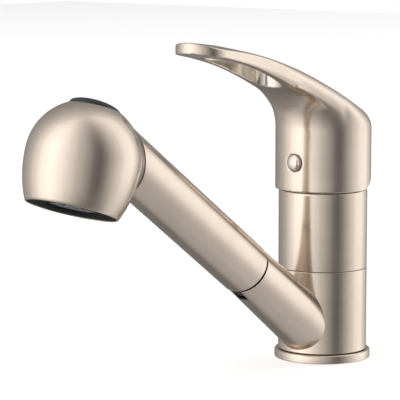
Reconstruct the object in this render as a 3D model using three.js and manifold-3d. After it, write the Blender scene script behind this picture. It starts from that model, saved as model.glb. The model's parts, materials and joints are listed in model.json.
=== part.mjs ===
// Single lever kitchen faucet with a pull out spray head.
// Lengths are millimetres and angles are degrees. +Z is up and the base stands on Z zero.
// The spout, the spray head and the lever all reach towards -Y.

import * as THREE from "three";
import { mergeVertices } from "three/addons/utils/BufferGeometryUtils.js";
import Module from "manifold-3d";

const wasm = await Module();
wasm.setup();

// Counts of flat sides and repeats
const columnSides = 32;
const hiddenSides = 20;
const tubeSides = 24;
const smallSides = 12;
const portSides = 10;
const nozzleSides = 6;
const screenHoleSides = 6;
const hexSides = 6;
const upperBallSteps = 7;
const lowerBallSteps = 5;
const insideBallSteps = 3;
const domeSteps = 3;
const capDomeSteps = 5;
const nozzleCount = 12;
const screenRings = [1, 6];

// Clearances, and how far a cut runs past the face that it opens
const runningGap = 0.3;
const seatGap = 0.2;
const columnSeam = 0.4;
const handleSeam = 0.5;
const overrun = 1.2;

// Column: base ring, turning hub and upper body
const bodyRadius = 23;
const baseRadius = 24.84;
const baseHeight = 4.4;
const edgeChamfer = 0.7;
const hubHeight = 42.36;
const hubWall = 3.4;
const upperBodyHeight = 40.54;
const upperBodyWall = 1.6;
const upperBodyChamfer = 1.5;
const lipThickness = 1.8;
const lipWidth = 3.8;

// Rings between the hub and the valve
const glideRingWidth = 1.5;
const glideRingHeight = 2;
const ringGrooveDepth = 1.6;
const ringGrooveHeight = 2.4;
const ringCrush = 0.1;
const ringCorner = 0.35;
const lowerGrooveHeight = 3;
const upperGrooveDrop = 7.5;

// Foot and cup of the valve
const valveFlangeWidth = 0.7;
const lowerLandHeight = 8.1;
const upperLandHeight = 11.6;
const waistRadius = 16.5;
const hoseWindowRadius = 14.5;
const hoseWindowSetback = 4;
const cartridgeBore = 17.75;
const cartridgeFloorRise = 4.4;
const cupHeadroom = 2.1;
const portRadius = 3.2;
const inletPortSide = 8;
const inletPortBack = 5;
const outletPortBack = 12;
const studHoleRadius = 2.2;
const studHoleBack = 4.5;
const studHoleDepth = 11;
const gasketWidth = 1.8;
const gasketHeight = 1;
const gasketInset = 1.2;

// Cartridge
const cartridgeBaseHeight = 4;
const sealWidth = 1.4;
const sealHeight = 1;
const discHeight = 3.4;
const fixedDiscRadius = 15.2;
const movingDiscRadius = 12.6;
const mixingPocketRadius = 8.4;
const mixingPocketDepth = 1.8;
const carrierRadius = 13.2;
const carrierHeight = 4.4;
const housingWall = 1.85;
const housingTopThickness = 3;
const housingHoleRadius = 11.5;
const collarFlangeHeight = 5.4;
const collarNeckHeight = 5.2;
const bonnetNutHeight = 7.4;
const bonnetNutFlats = 26;

// Stem, its pin and the dome cap, all about the lever's pivot
const pivotHeight = 76;
const stemTilt = 12;
const stemWidth = 7.5;
const stemReach = 38;
const stemRootReach = 4;
const stemArmReach = 9;
const stemArmRadius = 1.9;
const stemBallRadius = 2.3;
const stemPinRadius = 1.4;
const stemPinLength = 19;
const domeRadius = 22.5;
const domeWall = 1.5;
const domeHoleRadius = 11;

// Handle
const handleRadius = 24.84;
const leverReach = 110.1;
const leverHalfWidth = 14;
const tipTrim = 6.9;
const crownRearHeight = 126.5;
const crownTipHeight = 169.1;
const crownRadius = 45;
const leverTipThickness = 4.8;
const leverRootThickness = 14.7;
const leverEdgeRound = 1.5;
const handleEdgeRound = 7.3;
const liftAngle = 25;
const reliefStart = 3.3;
const skirtWallHeight = 3;
const handleWall = 3.2;
const cavityHeight = 23.4;
const cavityCorner = 4.5;
const bossRadius = 7.2;
const bossReach = 46;
const flareStartHeight = 116;
const flareTopHeight = 152;
const loopFront = 94;
const loopBack = 40.2;
const loopHalfWidth = 10.4;

// Index button and the set screw behind it
const buttonHeight = 14.8;
const buttonRadius = 4.3;
const buttonLength = 3.2;
const buttonCrown = 1.6;
const screwRadius = 2.4;
const screwLength = 9;
const screwSocketRadius = 1.3;
const screwSocketDepth = 3;
const screwRibWidth = 10;

// Spout stub and wand, along the slanted tube axis
const tubeRise = 35;
const tubeAxisHeight = 8.69;
const stubRootRadius = 15.66;
const stubEndRadius = 13.06;
const wandSeam = 78.64;
const wandSeamGap = 0.9;
const wandRadius = 13.45;
const wandWall = 2.25;
const stubBore = 9.2;
const socketBore = 10.8;
const socketDepth = 22;
const notchWidth = 5.8;
const notchLength = 6.2;
const guideWall = 1.4;
const guideFlangeHeight = 2;
const guideReach = 28;

// Pieces inside the wand
const spigotWall = 2.4;
const spigotDepth = 18;
const spigotInWand = 12;
const spigotFlangeHeight = 6;
const seamRecess = 0.45;
const keyLength = 5;
const nippleWall = 2.6;
const nippleLength = 19.6;
const nippleDepth = 10;
const washerHeight = 1.5;
const waterTubeRadius = 5;
const waterTubeWall = 1.2;
const waterTubeEndGap = 1.25;
const checkValveBore = 1.8;
const checkValveLength = 9;
const tubeSupportHeight = 3;

// Collar between the wand and the ball, square to the Y axis
const collarLead = 0.89;
const collarSeam = 0.3;
const collarLength = 9.2;

// Ball shaped head, about its own tilted axis
const ballReach = 212.8;
const ballDrop = 14.05;
const headTilt = 19.22;
const ballRadius = 26.88;
const ballUpperHeight = 27.02;
const ballLowerHeight = 41.41;
const ballWall = 2.2;
const faceDepth = 24.37;
const rimWall = 0.85;
const capSeatDrop = 3.22;
const toggleGap = 0.5;

// Pieces inside the head
const diverterRadius = 11;
const diverterTopDrop = 3;
const diverterOutletRadius = 5.5;
const diverterOutletBore = 2.75;
const flangeDepth = 14.5;
const flangeThickness = 2.4;
const faceInset = 0.5;
const faceThickness = 2.6;
const faceSkirt = 1.8;
const gasketRingHeight = 0.9;
const nozzleRadius = 1.05;
const nozzleTipRadius = 0.7;
const nozzleInset = 4.7;
// Share of the spray face's radius that the ring of nozzles takes
const nozzleBandShare = 0.409;
const nozzleSheet = 1;
const aeratorInset = 2;
const aeratorWall = 1.5;
const aeratorDepth = 5.4;
const screenThickness = 1.2;
const screenRim = 1.5;
const screenBar = 2.2;

// Rocker cap on top of the ball, its axle and the plunger under it
const capEdgeHeight = 1.8;
const capDome = 3.2;
const capGrooveWidth = 1;
const capGrooveDepth = 0.6;
const toggleTilt = 4;
const togglePivotDrop = 4.4;
const axleRadius = 1;
const axleLength = 16;
const lugWidth = 8;
const lugRadius = 2.2;
const earWidth = 2.4;
const plungerRadius = 1.6;
const plungerOffset = 6;
const plungerDepth = 8;

// Heights and radii that follow from the sizes above
const hubBottom = baseHeight + columnSeam;
const hubTop = hubBottom + hubHeight;
const upperBodyBottom = hubTop + columnSeam;
const upperBodyTop = upperBodyBottom + upperBodyHeight;
const handleBottom = upperBodyTop + handleSeam;
// The lever's curves are laid out over its reach and what the round tip cuts off
const curveReach = leverReach + tipTrim;
const tipCentre = leverReach - leverHalfWidth;
const hubBore = bodyRadius - hubWall;
const landRadius = hubBore - runningGap;
const glideOuter = hubBore + glideRingWidth;
const glidePocket = glideOuter + runningGap;
const valveFlangeRadius = landRadius + valveFlangeWidth;
const cupOuterRadius = bodyRadius - upperBodyWall - runningGap;
const cartridgeFloor = upperBodyBottom + cartridgeFloorRise;
const cupTop = upperBodyTop - cupHeadroom;
const lipBore = bodyRadius - lipWidth;
const lowerLandTop = baseHeight + lowerLandHeight;
const upperLandBottom = upperBodyBottom - upperLandHeight;
const cartridgeRadius = cartridgeBore - runningGap;
const cartridgeBaseBottom = cartridgeFloor + runningGap;
const cartridgeBaseTop = cartridgeBaseBottom + cartridgeBaseHeight;
const fixedDiscBottom = cartridgeBaseTop + seatGap;
const movingDiscBottom = fixedDiscBottom + discHeight + runningGap;
const carrierBottom = movingDiscBottom + discHeight + seatGap;
const carrierTop = carrierBottom + carrierHeight;
const collarBottom = carrierTop + runningGap;
const housingBore = cartridgeRadius - housingWall;
const housingTopUnderside = collarBottom + collarFlangeHeight + runningGap;
const housingTop = housingTopUnderside + housingTopThickness;
const bonnetBottom = housingTop + seatGap;
const skirtBore = bodyRadius + runningGap;
const stubEnd = wandSeam - wandSeamGap / 2;
const wandStart = wandSeam + wandSeamGap / 2;
const wandBore = wandRadius - wandWall;
const spigotRadius = socketBore - runningGap;
const spigotBore = spigotRadius - spigotWall;
const spigotStart = stubEnd - spigotDepth;
const spigotEnd = wandStart + spigotInWand;
const nippleRadius = spigotBore - seatGap;
const nippleStart = spigotStart + nippleDepth;
const nippleEnd = nippleStart + nippleLength;
const waterTubeStart = nippleEnd + washerHeight + 2 * seatGap;
const mixerNeckRadius = housingHoleRadius - runningGap - seatGap;
const ballMiddleReach = ballReach * Math.cos(radians(tubeRise)) + ballDrop * Math.sin(radians(tubeRise));
// The cap's seat lies below the ball's top, the rocker's pivot below that seat, the diverter's top below the pivot
const capSeat = ballUpperHeight - capSeatDrop;
const togglePivot = capSeat - togglePivotDrop;
const diverterTop = togglePivot - diverterTopDrop;
const collarPlane = ballMiddleReach - ballRadius - collarLead;
const faceRadius = ballOuter(-faceDepth) - rimWall - seatGap;
const nozzleCircle = faceRadius - nozzleInset;
const aeratorRadius = faceRadius * (1 - nozzleBandShare);
const screenRadius = aeratorRadius - aeratorWall - seatGap;
const screenPitch = (screenRadius - screenRim) / (screenRings.length - 1 / 2);
const screenHoleRadius = (screenPitch - screenBar) / 2;
const armShift = stemArmReach * Math.sin(radians(stemTilt));

// Shape tables of the handle: shares of the way from the rear to the tip, and of the rise between them
const crownShares = [
  [0, 0],
  [0.119, 0.175],
  [0.246, 0.386],
  [0.387, 0.585],
  [0.528, 0.744],
  [0.669, 0.864],
  [0.796, 0.937],
  [0.908, 0.981],
  [1, 1],
];
// Shares of the lever's reach, and of the growth from tip to root thickness
const thicknessShares = [
  [0.05, 1.06],
  [0.137, 1],
  [0.239, 0.889],
  [0.342, 0.737],
  [0.444, 0.596],
  [0.547, 0.455],
  [0.65, 0.313],
  [0.752, 0.212],
  [0.855, 0.12],
  [1, 0],
];
// Shares of the lever's reach, and of the widening from the lever to the round body
const rootWidthShares = [
  [0.094, 1],
  [0.117, 0.92],
  [0.139, 0.83],
  [0.162, 0.73],
  [0.188, 0.62],
  [0.211, 0.53],
  [0.239, 0.42],
  [0.291, 0.26],
  [0.342, 0.169],
  [0.444, 0.097],
  [0.547, 0.024],
  [0.65, 0],
];
// Where the edge rounding grows from the lever's to the body's: shares of the reach, and of the growth
const edgeRoundShares = [
  [0, 0.93],
  [0.1, 1],
  [0.19, 0.93],
  [0.27, 0.76],
  [0.38, 0.53],
  [0.51, 0.33],
  [0.68, 0.155],
  [1, 0],
];
// The concave flare under the lever's root: shares of its height, and of its reach
const flareShares = [
  [0, 0],
  [0.15, 0.01],
  [0.3, 0.06],
  [0.42, 0.14],
  [0.52, 0.27],
  [0.6, 0.42],
  [0.68, 0.62],
  [0.78, 1],
];
const flareReach = 20;
// The loop hole: shares of its length from back to front, and of its half width
const loopShares = [
  [0.03, 0.66],
  [0.08, 0.77],
  [0.16, 0.86],
  [0.27, 0.935],
  [0.38, 0.985],
  [0.52, 1],
  [0.66, 0.98],
  [0.78, 0.9],
  [0.88, 0.74],
  [0.95, 0.5],
  [0.985, 0.27],
];
// Places round the lever's tip, as shares of its quarter turn. The last is a short edge, not a point.
const tipTurnShares = [0, 0.12, 0.24, 0.36, 0.48, 0.6, 0.72, 0.83, 0.92, 0.98];
// Places up the button's crown, as shares of its quarter turn
const crownTurnShares = [0, 0.2, 0.4, 0.6, 0.8];
// Places across the handle's top, as shares of its half width
const acrossShares = [-1, -0.98, -0.92, -0.8, -0.6, -0.3, 0, 0.3, 0.6, 0.8, 0.92, 0.98, 1];

function radians(degrees) {
  return THREE.MathUtils.degToRad(degrees);
}

// A smooth value between the points of a table whose first column rises
function between(table, place) {
  const last = table.length - 1;
  const inside = Math.min(Math.max(place, table[0][0]), table[last][0]);
  const found = table.findIndex((row) => row[0] >= inside);
  const high = Math.max(found, 1);
  const low = high - 1;
  const span = table[high][0] - table[low][0];
  const share = (inside - table[low][0]) / span;
  const before = slope(table, low);
  const after = slope(table, high);
  const square = share * share;
  const cube = square * share;
  return (
    table[low][1] * (2 * cube - 3 * square + 1) +
    before * span * (cube - 2 * square + share) +
    table[high][1] * (3 * square - 2 * cube) +
    after * span * (cube - square)
  );
}

function slope(table, row) {
  const low = Math.max(row - 1, 0);
  const high = Math.min(row + 1, table.length - 1);
  return (table[high][1] - table[low][1]) / (table[high][0] - table[low][0]);
}

// Frames: the slanted tube, the collar, the head and the stem
const tubeFrame = new THREE.Group();
tubeFrame.position.z = tubeAxisHeight;
tubeFrame.rotation.x = radians(90 - tubeRise);

const headFrame = new THREE.Group();
headFrame.position.set(0, -ballDrop, ballReach);
headFrame.rotation.x = radians(tubeRise - 90 - headTilt);
tubeFrame.add(headFrame);

const toggleFrame = new THREE.Group();
toggleFrame.position.z = togglePivot;
toggleFrame.rotation.x = radians(-toggleTilt);
headFrame.add(toggleFrame);

const collarFrame = new THREE.Group();
collarFrame.position.set(0, -collarPlane, tubeAxisHeight + collarPlane * Math.tan(radians(tubeRise)));
collarFrame.rotation.x = radians(90);

const stemFrame = new THREE.Group();
stemFrame.position.z = pivotHeight;
stemFrame.rotation.x = radians(stemTilt);

const faucet = new THREE.Group();
faucet.add(tubeFrame, collarFrame, stemFrame);
faucet.updateMatrixWorld(true);

// A closed triangle mesh as a solid for joining and cutting
function solid(geometry) {
  const bare = geometry.clone();
  bare.deleteAttribute("normal");
  bare.deleteAttribute("uv");
  const merged = mergeVertices(bare);
  const corners = merged.getAttribute("position").array;
  const kept = [];
  const index = merged.getIndex().array;
  for (let i = 0; i < index.length; i += 3) {
    const [a, b, c] = [index[i], index[i + 1], index[i + 2]];
    if (a !== b && b !== c && c !== a) {
      kept.push(a, b, c);
    }
  }
  const outward = volume(corners, kept) > 0;
  const triangles = outward ? kept : kept.reverse();
  const mesh = new wasm.Mesh({
    numProp: 3,
    vertProperties: new Float32Array(corners),
    triVerts: new Uint32Array(triangles),
  });
  return new wasm.Manifold(mesh);
}

function volume(corners, triangles) {
  const [a, b, c] = [new THREE.Vector3(), new THREE.Vector3(), new THREE.Vector3()];
  let sum = 0;
  for (let i = 0; i < triangles.length; i += 3) {
    a.fromArray(corners, triangles[i] * 3);
    b.fromArray(corners, triangles[i + 1] * 3);
    c.fromArray(corners, triangles[i + 2] * 3);
    sum += a.dot(b.cross(c));
  }
  return sum;
}

function geometryOf(shape) {
  const mesh = shape.getMesh();
  const geometry = new THREE.BufferGeometry();
  geometry.setAttribute("position", new THREE.BufferAttribute(new Float32Array(mesh.vertProperties), 3));
  geometry.setIndex(new THREE.BufferAttribute(new Uint32Array(mesh.triVerts), 1));
  geometry.computeVertexNormals();
  return geometry;
}

// A profile of radius and height pairs, turned about the Z axis
function turned(profile, sides = columnSides) {
  const points = profile.map(([radius, height]) => new THREE.Vector2(radius, height));
  return new THREE.LatheGeometry(points, sides).rotateX(radians(90));
}

// A ring: the same, from a profile that closes on itself
function turnedRing(profile, sides = columnSides) {
  return turned([...profile, profile[0]], sides);
}

function rod(radius, bottom, top, sides = smallSides) {
  return turned(
    [
      [0, bottom],
      [radius, bottom],
      [radius, top],
      [0, top],
    ],
    sides,
  );
}

function plainRing(inner, outer, bottom, top, sides = columnSides) {
  return turnedRing(
    [
      [inner, bottom],
      [outer, bottom],
      [outer, top],
      [inner, top],
    ],
    sides,
  );
}

function block(low, high) {
  const size = new THREE.Vector3().subVectors(high, low);
  const centre = new THREE.Vector3().addVectors(low, high).multiplyScalar(1 / 2);
  return new THREE.BoxGeometry(size.x, size.y, size.z).translate(centre.x, centre.y, centre.z);
}

function corner(x, y, z) {
  return new THREE.Vector3(x, y, z);
}

// A geometry made in one frame, as seen from another
function carried(geometry, from, to) {
  const matrix = to.matrixWorld.clone().invert().multiply(from.matrixWorld);
  return geometry.applyMatrix4(matrix);
}

function finish(color, roughness, metalness) {
  return () => new THREE.MeshStandardMaterial({ color, roughness, metalness });
}

const nickel = finish(0xb8a998, 0.34, 1);
const brightNickel = finish(0xd2c8bc, 0.18, 1);
const brass = finish(0xb08d4c, 0.4, 1);
const steel = finish(0xa7a9ab, 0.35, 1);
const blackPlastic = finish(0x1d1d1f, 0.5, 0);
const greyPlastic = finish(0x85878a, 0.45, 0);
const whitePlastic = finish(0xe4e2da, 0.45, 0);
const rubber = finish(0x151515, 0.85, 0);
const ceramic = finish(0xf1efe9, 0.2, 0);

function place(name, shape, material, frame = faucet) {
  const mesh = new THREE.Mesh(geometryOf(shape), material());
  mesh.name = name;
  frame.add(mesh);
}

// Column pieces

function makeBaseRing() {
  const inner = valveFlangeRadius + seatGap;
  const gasketOuter = baseRadius - gasketInset + seatGap;
  const gasketInner = gasketOuter - gasketWidth - 2 * seatGap;
  const groove = gasketHeight + seatGap;
  return solid(
    turnedRing([
      [inner, 0],
      [gasketInner, 0],
      [gasketInner, groove],
      [gasketOuter, groove],
      [gasketOuter, 0],
      [baseRadius, 0],
      [baseRadius, baseHeight - edgeChamfer],
      [baseRadius - edgeChamfer, baseHeight],
      [inner, baseHeight],
    ]),
  );
}

function makeBaseGasket() {
  const outer = baseRadius - gasketInset;
  return solid(plainRing(outer - gasketWidth, outer, 0, gasketHeight));
}

// The rubber ring's groove in a land of the valve, as profile points from its lower edge up
function grooveProfile(bottom) {
  const floor = landRadius - ringGrooveDepth;
  const top = bottom + ringGrooveHeight;
  return [
    [landRadius, bottom],
    [floor, bottom],
    [floor, top],
    [landRadius, top],
  ];
}

// Foot of the valve: a flange and a land with the hose's passage, and a waist that is open in front
function makeValveFoot() {
  const top = upperLandBottom - seatGap;
  const foot = solid(
    turned(
      [
        [0, 0],
        [valveFlangeRadius, 0],
        [valveFlangeRadius, baseHeight],
        [landRadius, baseHeight],
        ...grooveProfile(baseHeight + lowerGrooveHeight),
        [landRadius, lowerLandTop],
        [waistRadius, lowerLandTop],
        [waistRadius, top],
        [0, top],
      ],
      hiddenSides,
    ),
  );
  const ahead = hoseSide(-overrun);
  const passage = solid(rod(hoseWindowRadius, -overrun, upperLandBottom, hiddenSides)).intersect(ahead);
  const window = hoseSide(lowerLandTop);
  const stud = rod(studHoleRadius, -overrun, studHoleDepth, portSides).translate(0, studHoleBack, 0);
  return bored(foot.subtract(passage).subtract(window).subtract(solid(stud)), 0, top);
}

// The space in front of the water ways, where the hose passes, from a height upwards
function hoseSide(bottom) {
  const low = corner(-baseRadius, -baseRadius, bottom);
  return solid(block(low, corner(baseRadius, -hoseWindowSetback, upperBodyTop)));
}

// Cup of the valve: the upper land and the cup that takes the cartridge
function makeValveCup() {
  const cup = solid(
    turned(
      [
        [0, upperLandBottom],
        [landRadius, upperLandBottom],
        ...grooveProfile(upperBodyBottom - upperGrooveDrop),
        [landRadius, upperBodyBottom],
        [cupOuterRadius, upperBodyBottom],
        [cupOuterRadius, cupTop],
        [cartridgeBore, cupTop],
        [cartridgeBore, cartridgeFloor],
        [0, cartridgeFloor],
      ],
      hiddenSides,
    ),
  );
  return bored(cup, upperLandBottom, cartridgeFloor);
}

// The three water ways, cut through a piece of the valve
function bored(shape, bottom, top) {
  const holes = portPlaces().map(([x, y]) =>
    solid(rod(portRadius, bottom - overrun, top + overrun, portSides).translate(x, y, 0)),
  );
  return holes.reduce((all, hole) => all.subtract(hole), shape);
}

function portPlaces() {
  return [
    [-inletPortSide, inletPortBack],
    [inletPortSide, inletPortBack],
    [0, outletPortBack],
  ];
}

function makeGlideRing(bottom) {
  const top = bottom + glideRingHeight - 2 * seatGap;
  return solid(plainRing(landRadius + seatGap, glideOuter, bottom, top, hiddenSides));
}

function makeRubberRing(grooveBottom) {
  const inner = landRadius - ringGrooveDepth + seatGap;
  const outer = landRadius + ringCrush;
  const bottom = grooveBottom + seatGap;
  const top = grooveBottom + ringGrooveHeight - seatGap;
  return solid(
    turnedRing(
      [
        [inner, bottom + ringCorner],
        [inner + ringCorner, bottom],
        [outer - ringCorner, bottom],
        [outer, bottom + ringCorner],
        [outer, top - ringCorner],
        [outer - ringCorner, top],
        [inner + ringCorner, top],
        [inner, top - ringCorner],
      ],
      hiddenSides,
    ),
  );
}

function makeUpperBody() {
  const bore = bodyRadius - upperBodyWall;
  return solid(
    turnedRing([
      [bore, upperBodyBottom],
      [bodyRadius, upperBodyBottom],
      [bodyRadius, upperBodyTop - upperBodyChamfer],
      [bodyRadius - upperBodyChamfer, upperBodyTop],
      [lipBore, upperBodyTop],
      [lipBore, upperBodyTop - lipThickness],
      [bore, upperBodyTop - lipThickness],
    ]),
  );
}

// Cartridge pieces

// The seal's outline: a ring round each port and bars that join the rings
function sealShape(spare, bottom, top) {
  const outer = portRadius + sealWidth + spare;
  const bar = sealWidth / 2 + spare;
  const rings = portPlaces().map(([x, y]) => solid(rod(outer, bottom, top, portSides).translate(x, y, 0)));
  const across = block(
    corner(-inletPortSide, inletPortBack - bar, bottom),
    corner(inletPortSide, inletPortBack + bar, top),
  );
  const along = block(corner(-bar, inletPortBack, bottom), corner(bar, outletPortBack, top));
  return rings.reduce((all, ring) => all.add(ring), solid(across).add(solid(along)));
}

function drillPorts(shape, radius) {
  const holes = portPlaces().map(([x, y]) =>
    solid(rod(radius, cartridgeFloor - overrun, carrierTop, portSides).translate(x, y, 0)),
  );
  return holes.reduce((all, hole) => all.subtract(hole), shape);
}

function makeInletSeals() {
  const bottom = cartridgeFloor + seatGap;
  return drillPorts(sealShape(0, bottom, bottom + sealHeight), portRadius);
}

function makeCartridgeBase() {
  const base = solid(rod(cartridgeRadius, cartridgeBaseBottom, cartridgeBaseTop, hiddenSides));
  const pocket = sealShape(seatGap, cartridgeFloor, cartridgeFloor + sealHeight + 2 * seatGap);
  return drillPorts(base.subtract(pocket), portRadius);
}

function makeFixedDisc() {
  const disc = solid(rod(fixedDiscRadius, fixedDiscBottom, fixedDiscBottom + discHeight, hiddenSides));
  return drillPorts(disc, portRadius - seatGap);
}

function makeMovingDisc() {
  const disc = rod(movingDiscRadius, movingDiscBottom, movingDiscBottom + discHeight, hiddenSides);
  const pocket = rod(mixingPocketRadius, cartridgeFloor, movingDiscBottom + mixingPocketDepth);
  return solid(disc.translate(0, armShift, 0)).subtract(solid(pocket.translate(0, armShift, 0)));
}

function makeDiscCarrier() {
  const carrier = rod(carrierRadius, carrierBottom, carrierTop, hiddenSides);
  const hole = rod(stemBallRadius + runningGap, movingDiscBottom, carrierTop + overrun);
  return solid(carrier.translate(0, armShift, 0)).subtract(solid(hole.translate(0, armShift, 0)));
}

function makeCartridgeHousing() {
  return solid(
    turnedRing(
      [
        [housingBore, cartridgeBaseTop + seatGap],
        [cartridgeRadius, cartridgeBaseTop + seatGap],
        [cartridgeRadius, housingTop],
        [housingHoleRadius, housingTop],
        [housingHoleRadius, housingTopUnderside],
        [housingBore, housingTopUnderside],
      ],
      hiddenSides,
    ),
  );
}

function makeStemCollar() {
  const flangeTop = collarBottom + collarFlangeHeight;
  const flangeRadius = housingBore - runningGap;
  const neckTop = flangeTop + collarNeckHeight;
  const slotSide = stemWidth / 2 + runningGap;
  const slotFront = stemWidth / 2 + stemRootReach / 2;
  const collar = solid(
    turned(
      [
        [0, collarBottom],
        [flangeRadius, collarBottom],
        [flangeRadius, flangeTop],
        [mixerNeckRadius, flangeTop],
        [mixerNeckRadius, neckTop],
        [0, neckTop],
      ],
      hiddenSides,
    ),
  );
  const slot = block(
    corner(-slotSide, -slotFront, collarBottom - overrun),
    corner(slotSide, slotFront, neckTop + overrun),
  );
  const reach = stemPinLength / 2 + seatGap;
  const pinHole = rod(stemPinRadius + seatGap, -reach, reach).rotateY(radians(90));
  pinHole.translate(0, 0, pivotHeight);
  return collar.subtract(solid(slot)).subtract(solid(pinHole));
}

function makeStemPin() {
  const pin = rod(stemPinRadius, -stemPinLength / 2, stemPinLength / 2);
  return solid(pin.rotateY(radians(90)).translate(0, 0, pivotHeight));
}

function makeBonnetNut() {
  const top = Math.min(bonnetBottom + bonnetNutHeight, cupTop);
  const flatsRadius = bonnetNutFlats / 2 / Math.cos(Math.PI / hexSides);
  const nut = solid(rod(cartridgeBore - runningGap, bonnetBottom, top, hiddenSides));
  const bore = rod(flatsRadius, bonnetBottom - overrun, top + overrun, hexSides);
  return nut.subtract(solid(bore));
}

function makeDomeCap() {
  const outer = lipBore - seatGap;
  const inner = outer - domeWall;
  const bottom = cupTop + seatGap;
  const inside = domeRadius - domeWall;
  return solid(
    turnedRing(
      [
        [inner, bottom],
        [outer, bottom],
        ...domeArc(domeRadius, outer, domeHoleRadius),
        ...domeArc(inside, domeHoleRadius, inner),
      ],
      hiddenSides,
    ),
  );
}

// Points on a circle about the pivot, from one radius to another
function domeArc(radius, from, to) {
  const start = Math.asin(from / radius);
  const end = Math.asin(to / radius);
  return Array.from({ length: domeSteps + 1 }, (_, step) => {
    const angle = start + ((end - start) * step) / domeSteps;
    return [radius * Math.sin(angle), pivotHeight + radius * Math.cos(angle)];
  });
}

// Turning hub with its stub

function makeSpoutHub() {
  const shell = solid(
    turnedRing([
      [hubBore, hubBottom + glideRingHeight],
      [glidePocket, hubBottom + glideRingHeight],
      [glidePocket, hubBottom],
      [bodyRadius, hubBottom],
      [bodyRadius, hubTop],
      [glidePocket, hubTop],
      [glidePocket, hubTop - glideRingHeight],
      [hubBore, hubTop - glideRingHeight],
    ]),
  );
  const cone = turned(
    [
      [0, 0],
      [stubRootRadius, 0],
      [stubEndRadius, stubEnd],
      [0, stubEnd],
    ],
    tubeSides,
  );
  const inside = turned([
    [0, -baseRadius],
    [wandSeam, -baseRadius],
    [wandSeam, hubBottom],
    [glidePocket, hubBottom],
    [glidePocket, hubBottom + glideRingHeight],
    [hubBore, hubBottom + glideRingHeight],
    [hubBore, hubTop],
    [0, hubTop],
  ]);
  const stub = solid(carried(cone, tubeFrame, faucet)).subtract(solid(inside));
  const bore = carried(rod(stubBore, 0, stubEnd + overrun, tubeSides), tubeFrame, faucet);
  const socketRod = rod(socketBore, stubEnd - socketDepth, stubEnd + overrun, tubeSides);
  const socket = carried(socketRod, tubeFrame, faucet);
  const notch = block(
    corner(-notchWidth / 2, -stubRootRadius, stubEnd - notchLength),
    corner(notchWidth / 2, -stubBore, stubEnd + overrun),
  );
  return shell
    .add(stub)
    .subtract(solid(bore))
    .subtract(solid(socket))
    .subtract(solid(carried(notch, tubeFrame, faucet)));
}

function makeHoseGuide() {
  const outer = stubBore - seatGap;
  const top = stubEnd - socketDepth + guideFlangeHeight;
  const flangeBottom = stubEnd - socketDepth + seatGap;
  return solid(
    turnedRing(
      [
        [outer - guideWall, guideReach],
        [outer, guideReach],
        [outer, flangeBottom],
        [socketBore - seatGap, flangeBottom],
        [socketBore - seatGap, top],
        [outer - guideWall, top],
      ],
      tubeSides,
    ),
  );
}

// Wand pieces, along the tube axis

function makeWandTube() {
  const far = ballReach;
  const tube = solid(
    turnedRing(
      [
        [wandBore, wandStart],
        [wandRadius - edgeChamfer / 2, wandStart],
        [wandRadius, wandStart + edgeChamfer / 2],
        [wandRadius, far],
        [wandBore, far],
      ],
      tubeSides,
    ),
  );
  return tube.subtract(solid(beyondPlane(collarPlane - collarSeam / 2)));
}

// Everything further from the column than a distance along the Y axis, in the tube's frame
function beyondPlane(distance) {
  const far = ballReach + ballRadius;
  const space = block(corner(-far, -far, -far), corner(far, -distance, far));
  return carried(space, faucet, tubeFrame);
}

// The spigot plugs into the stub, and its thin collar fills the seam
function makeDockSpigot() {
  const seamRadius = stubEndRadius - seamRecess;
  const step = wandStart + spigotInWand - spigotFlangeHeight;
  const outer = wandBore - seatGap;
  const body = solid(
    turnedRing(
      [
        [spigotBore, spigotStart],
        [spigotRadius - edgeChamfer, spigotStart],
        [spigotRadius, spigotStart + edgeChamfer],
        [spigotRadius, stubEnd + seatGap],
        [seamRadius, stubEnd + seatGap],
        [seamRadius, wandStart - seatGap],
        [spigotRadius, wandStart - seatGap],
        [spigotRadius, step],
        [outer, step],
        [outer, spigotEnd],
        [spigotBore, spigotEnd],
      ],
      tubeSides,
    ),
  );
  const keySide = notchWidth / 2 - runningGap;
  const key = block(
    corner(-keySide, -(stubEndRadius - edgeChamfer), stubEnd - keyLength),
    corner(keySide, -(spigotBore + seatGap), wandStart - seatGap),
  );
  const hollow = rod(spigotBore + seatGap, spigotStart, spigotEnd, tubeSides);
  return body.add(solid(key).subtract(solid(hollow)));
}

function makeHoseInlet() {
  const bore = nippleRadius - nippleWall;
  return solid(
    turnedRing(
      [
        [bore, nippleStart],
        [nippleRadius - edgeChamfer, nippleStart],
        [nippleRadius, nippleStart + edgeChamfer],
        [nippleRadius, nippleEnd],
        [bore, nippleEnd],
      ],
      smallSides,
    ),
  );
}

function makeInletWasher() {
  const bottom = nippleEnd + seatGap;
  return solid(plainRing(nippleRadius - nippleWall, nippleRadius, bottom, bottom + washerHeight, smallSides));
}

function makeWaterTube() {
  const inner = waterTubeRadius - waterTubeWall;
  const end = ballReach - diverterReach();
  const headTop = waterTubeStart + tubeSupportHeight;
  const supportBottom = collarPlane;
  const supportTop = supportBottom + tubeSupportHeight;
  return solid(
    turnedRing(
      [
        [inner, waterTubeStart],
        [wandBore - seatGap, waterTubeStart],
        [wandBore - seatGap, headTop],
        [waterTubeRadius, headTop],
        [waterTubeRadius, supportBottom],
        [wandBore - seatGap, supportBottom],
        [wandBore - seatGap, supportTop],
        [waterTubeRadius, supportTop],
        [waterTubeRadius, end],
        [inner, end],
      ],
      smallSides,
    ),
  );
}

// How far before the ball's middle the water tube ends, clear of the round diverter body
function diverterReach() {
  const lean = radians(tubeRise - headTilt);
  const reach = diverterRadius + seatGap - ballDrop * Math.sin(lean);
  return reach / Math.cos(lean) + waterTubeEndGap;
}

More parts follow.
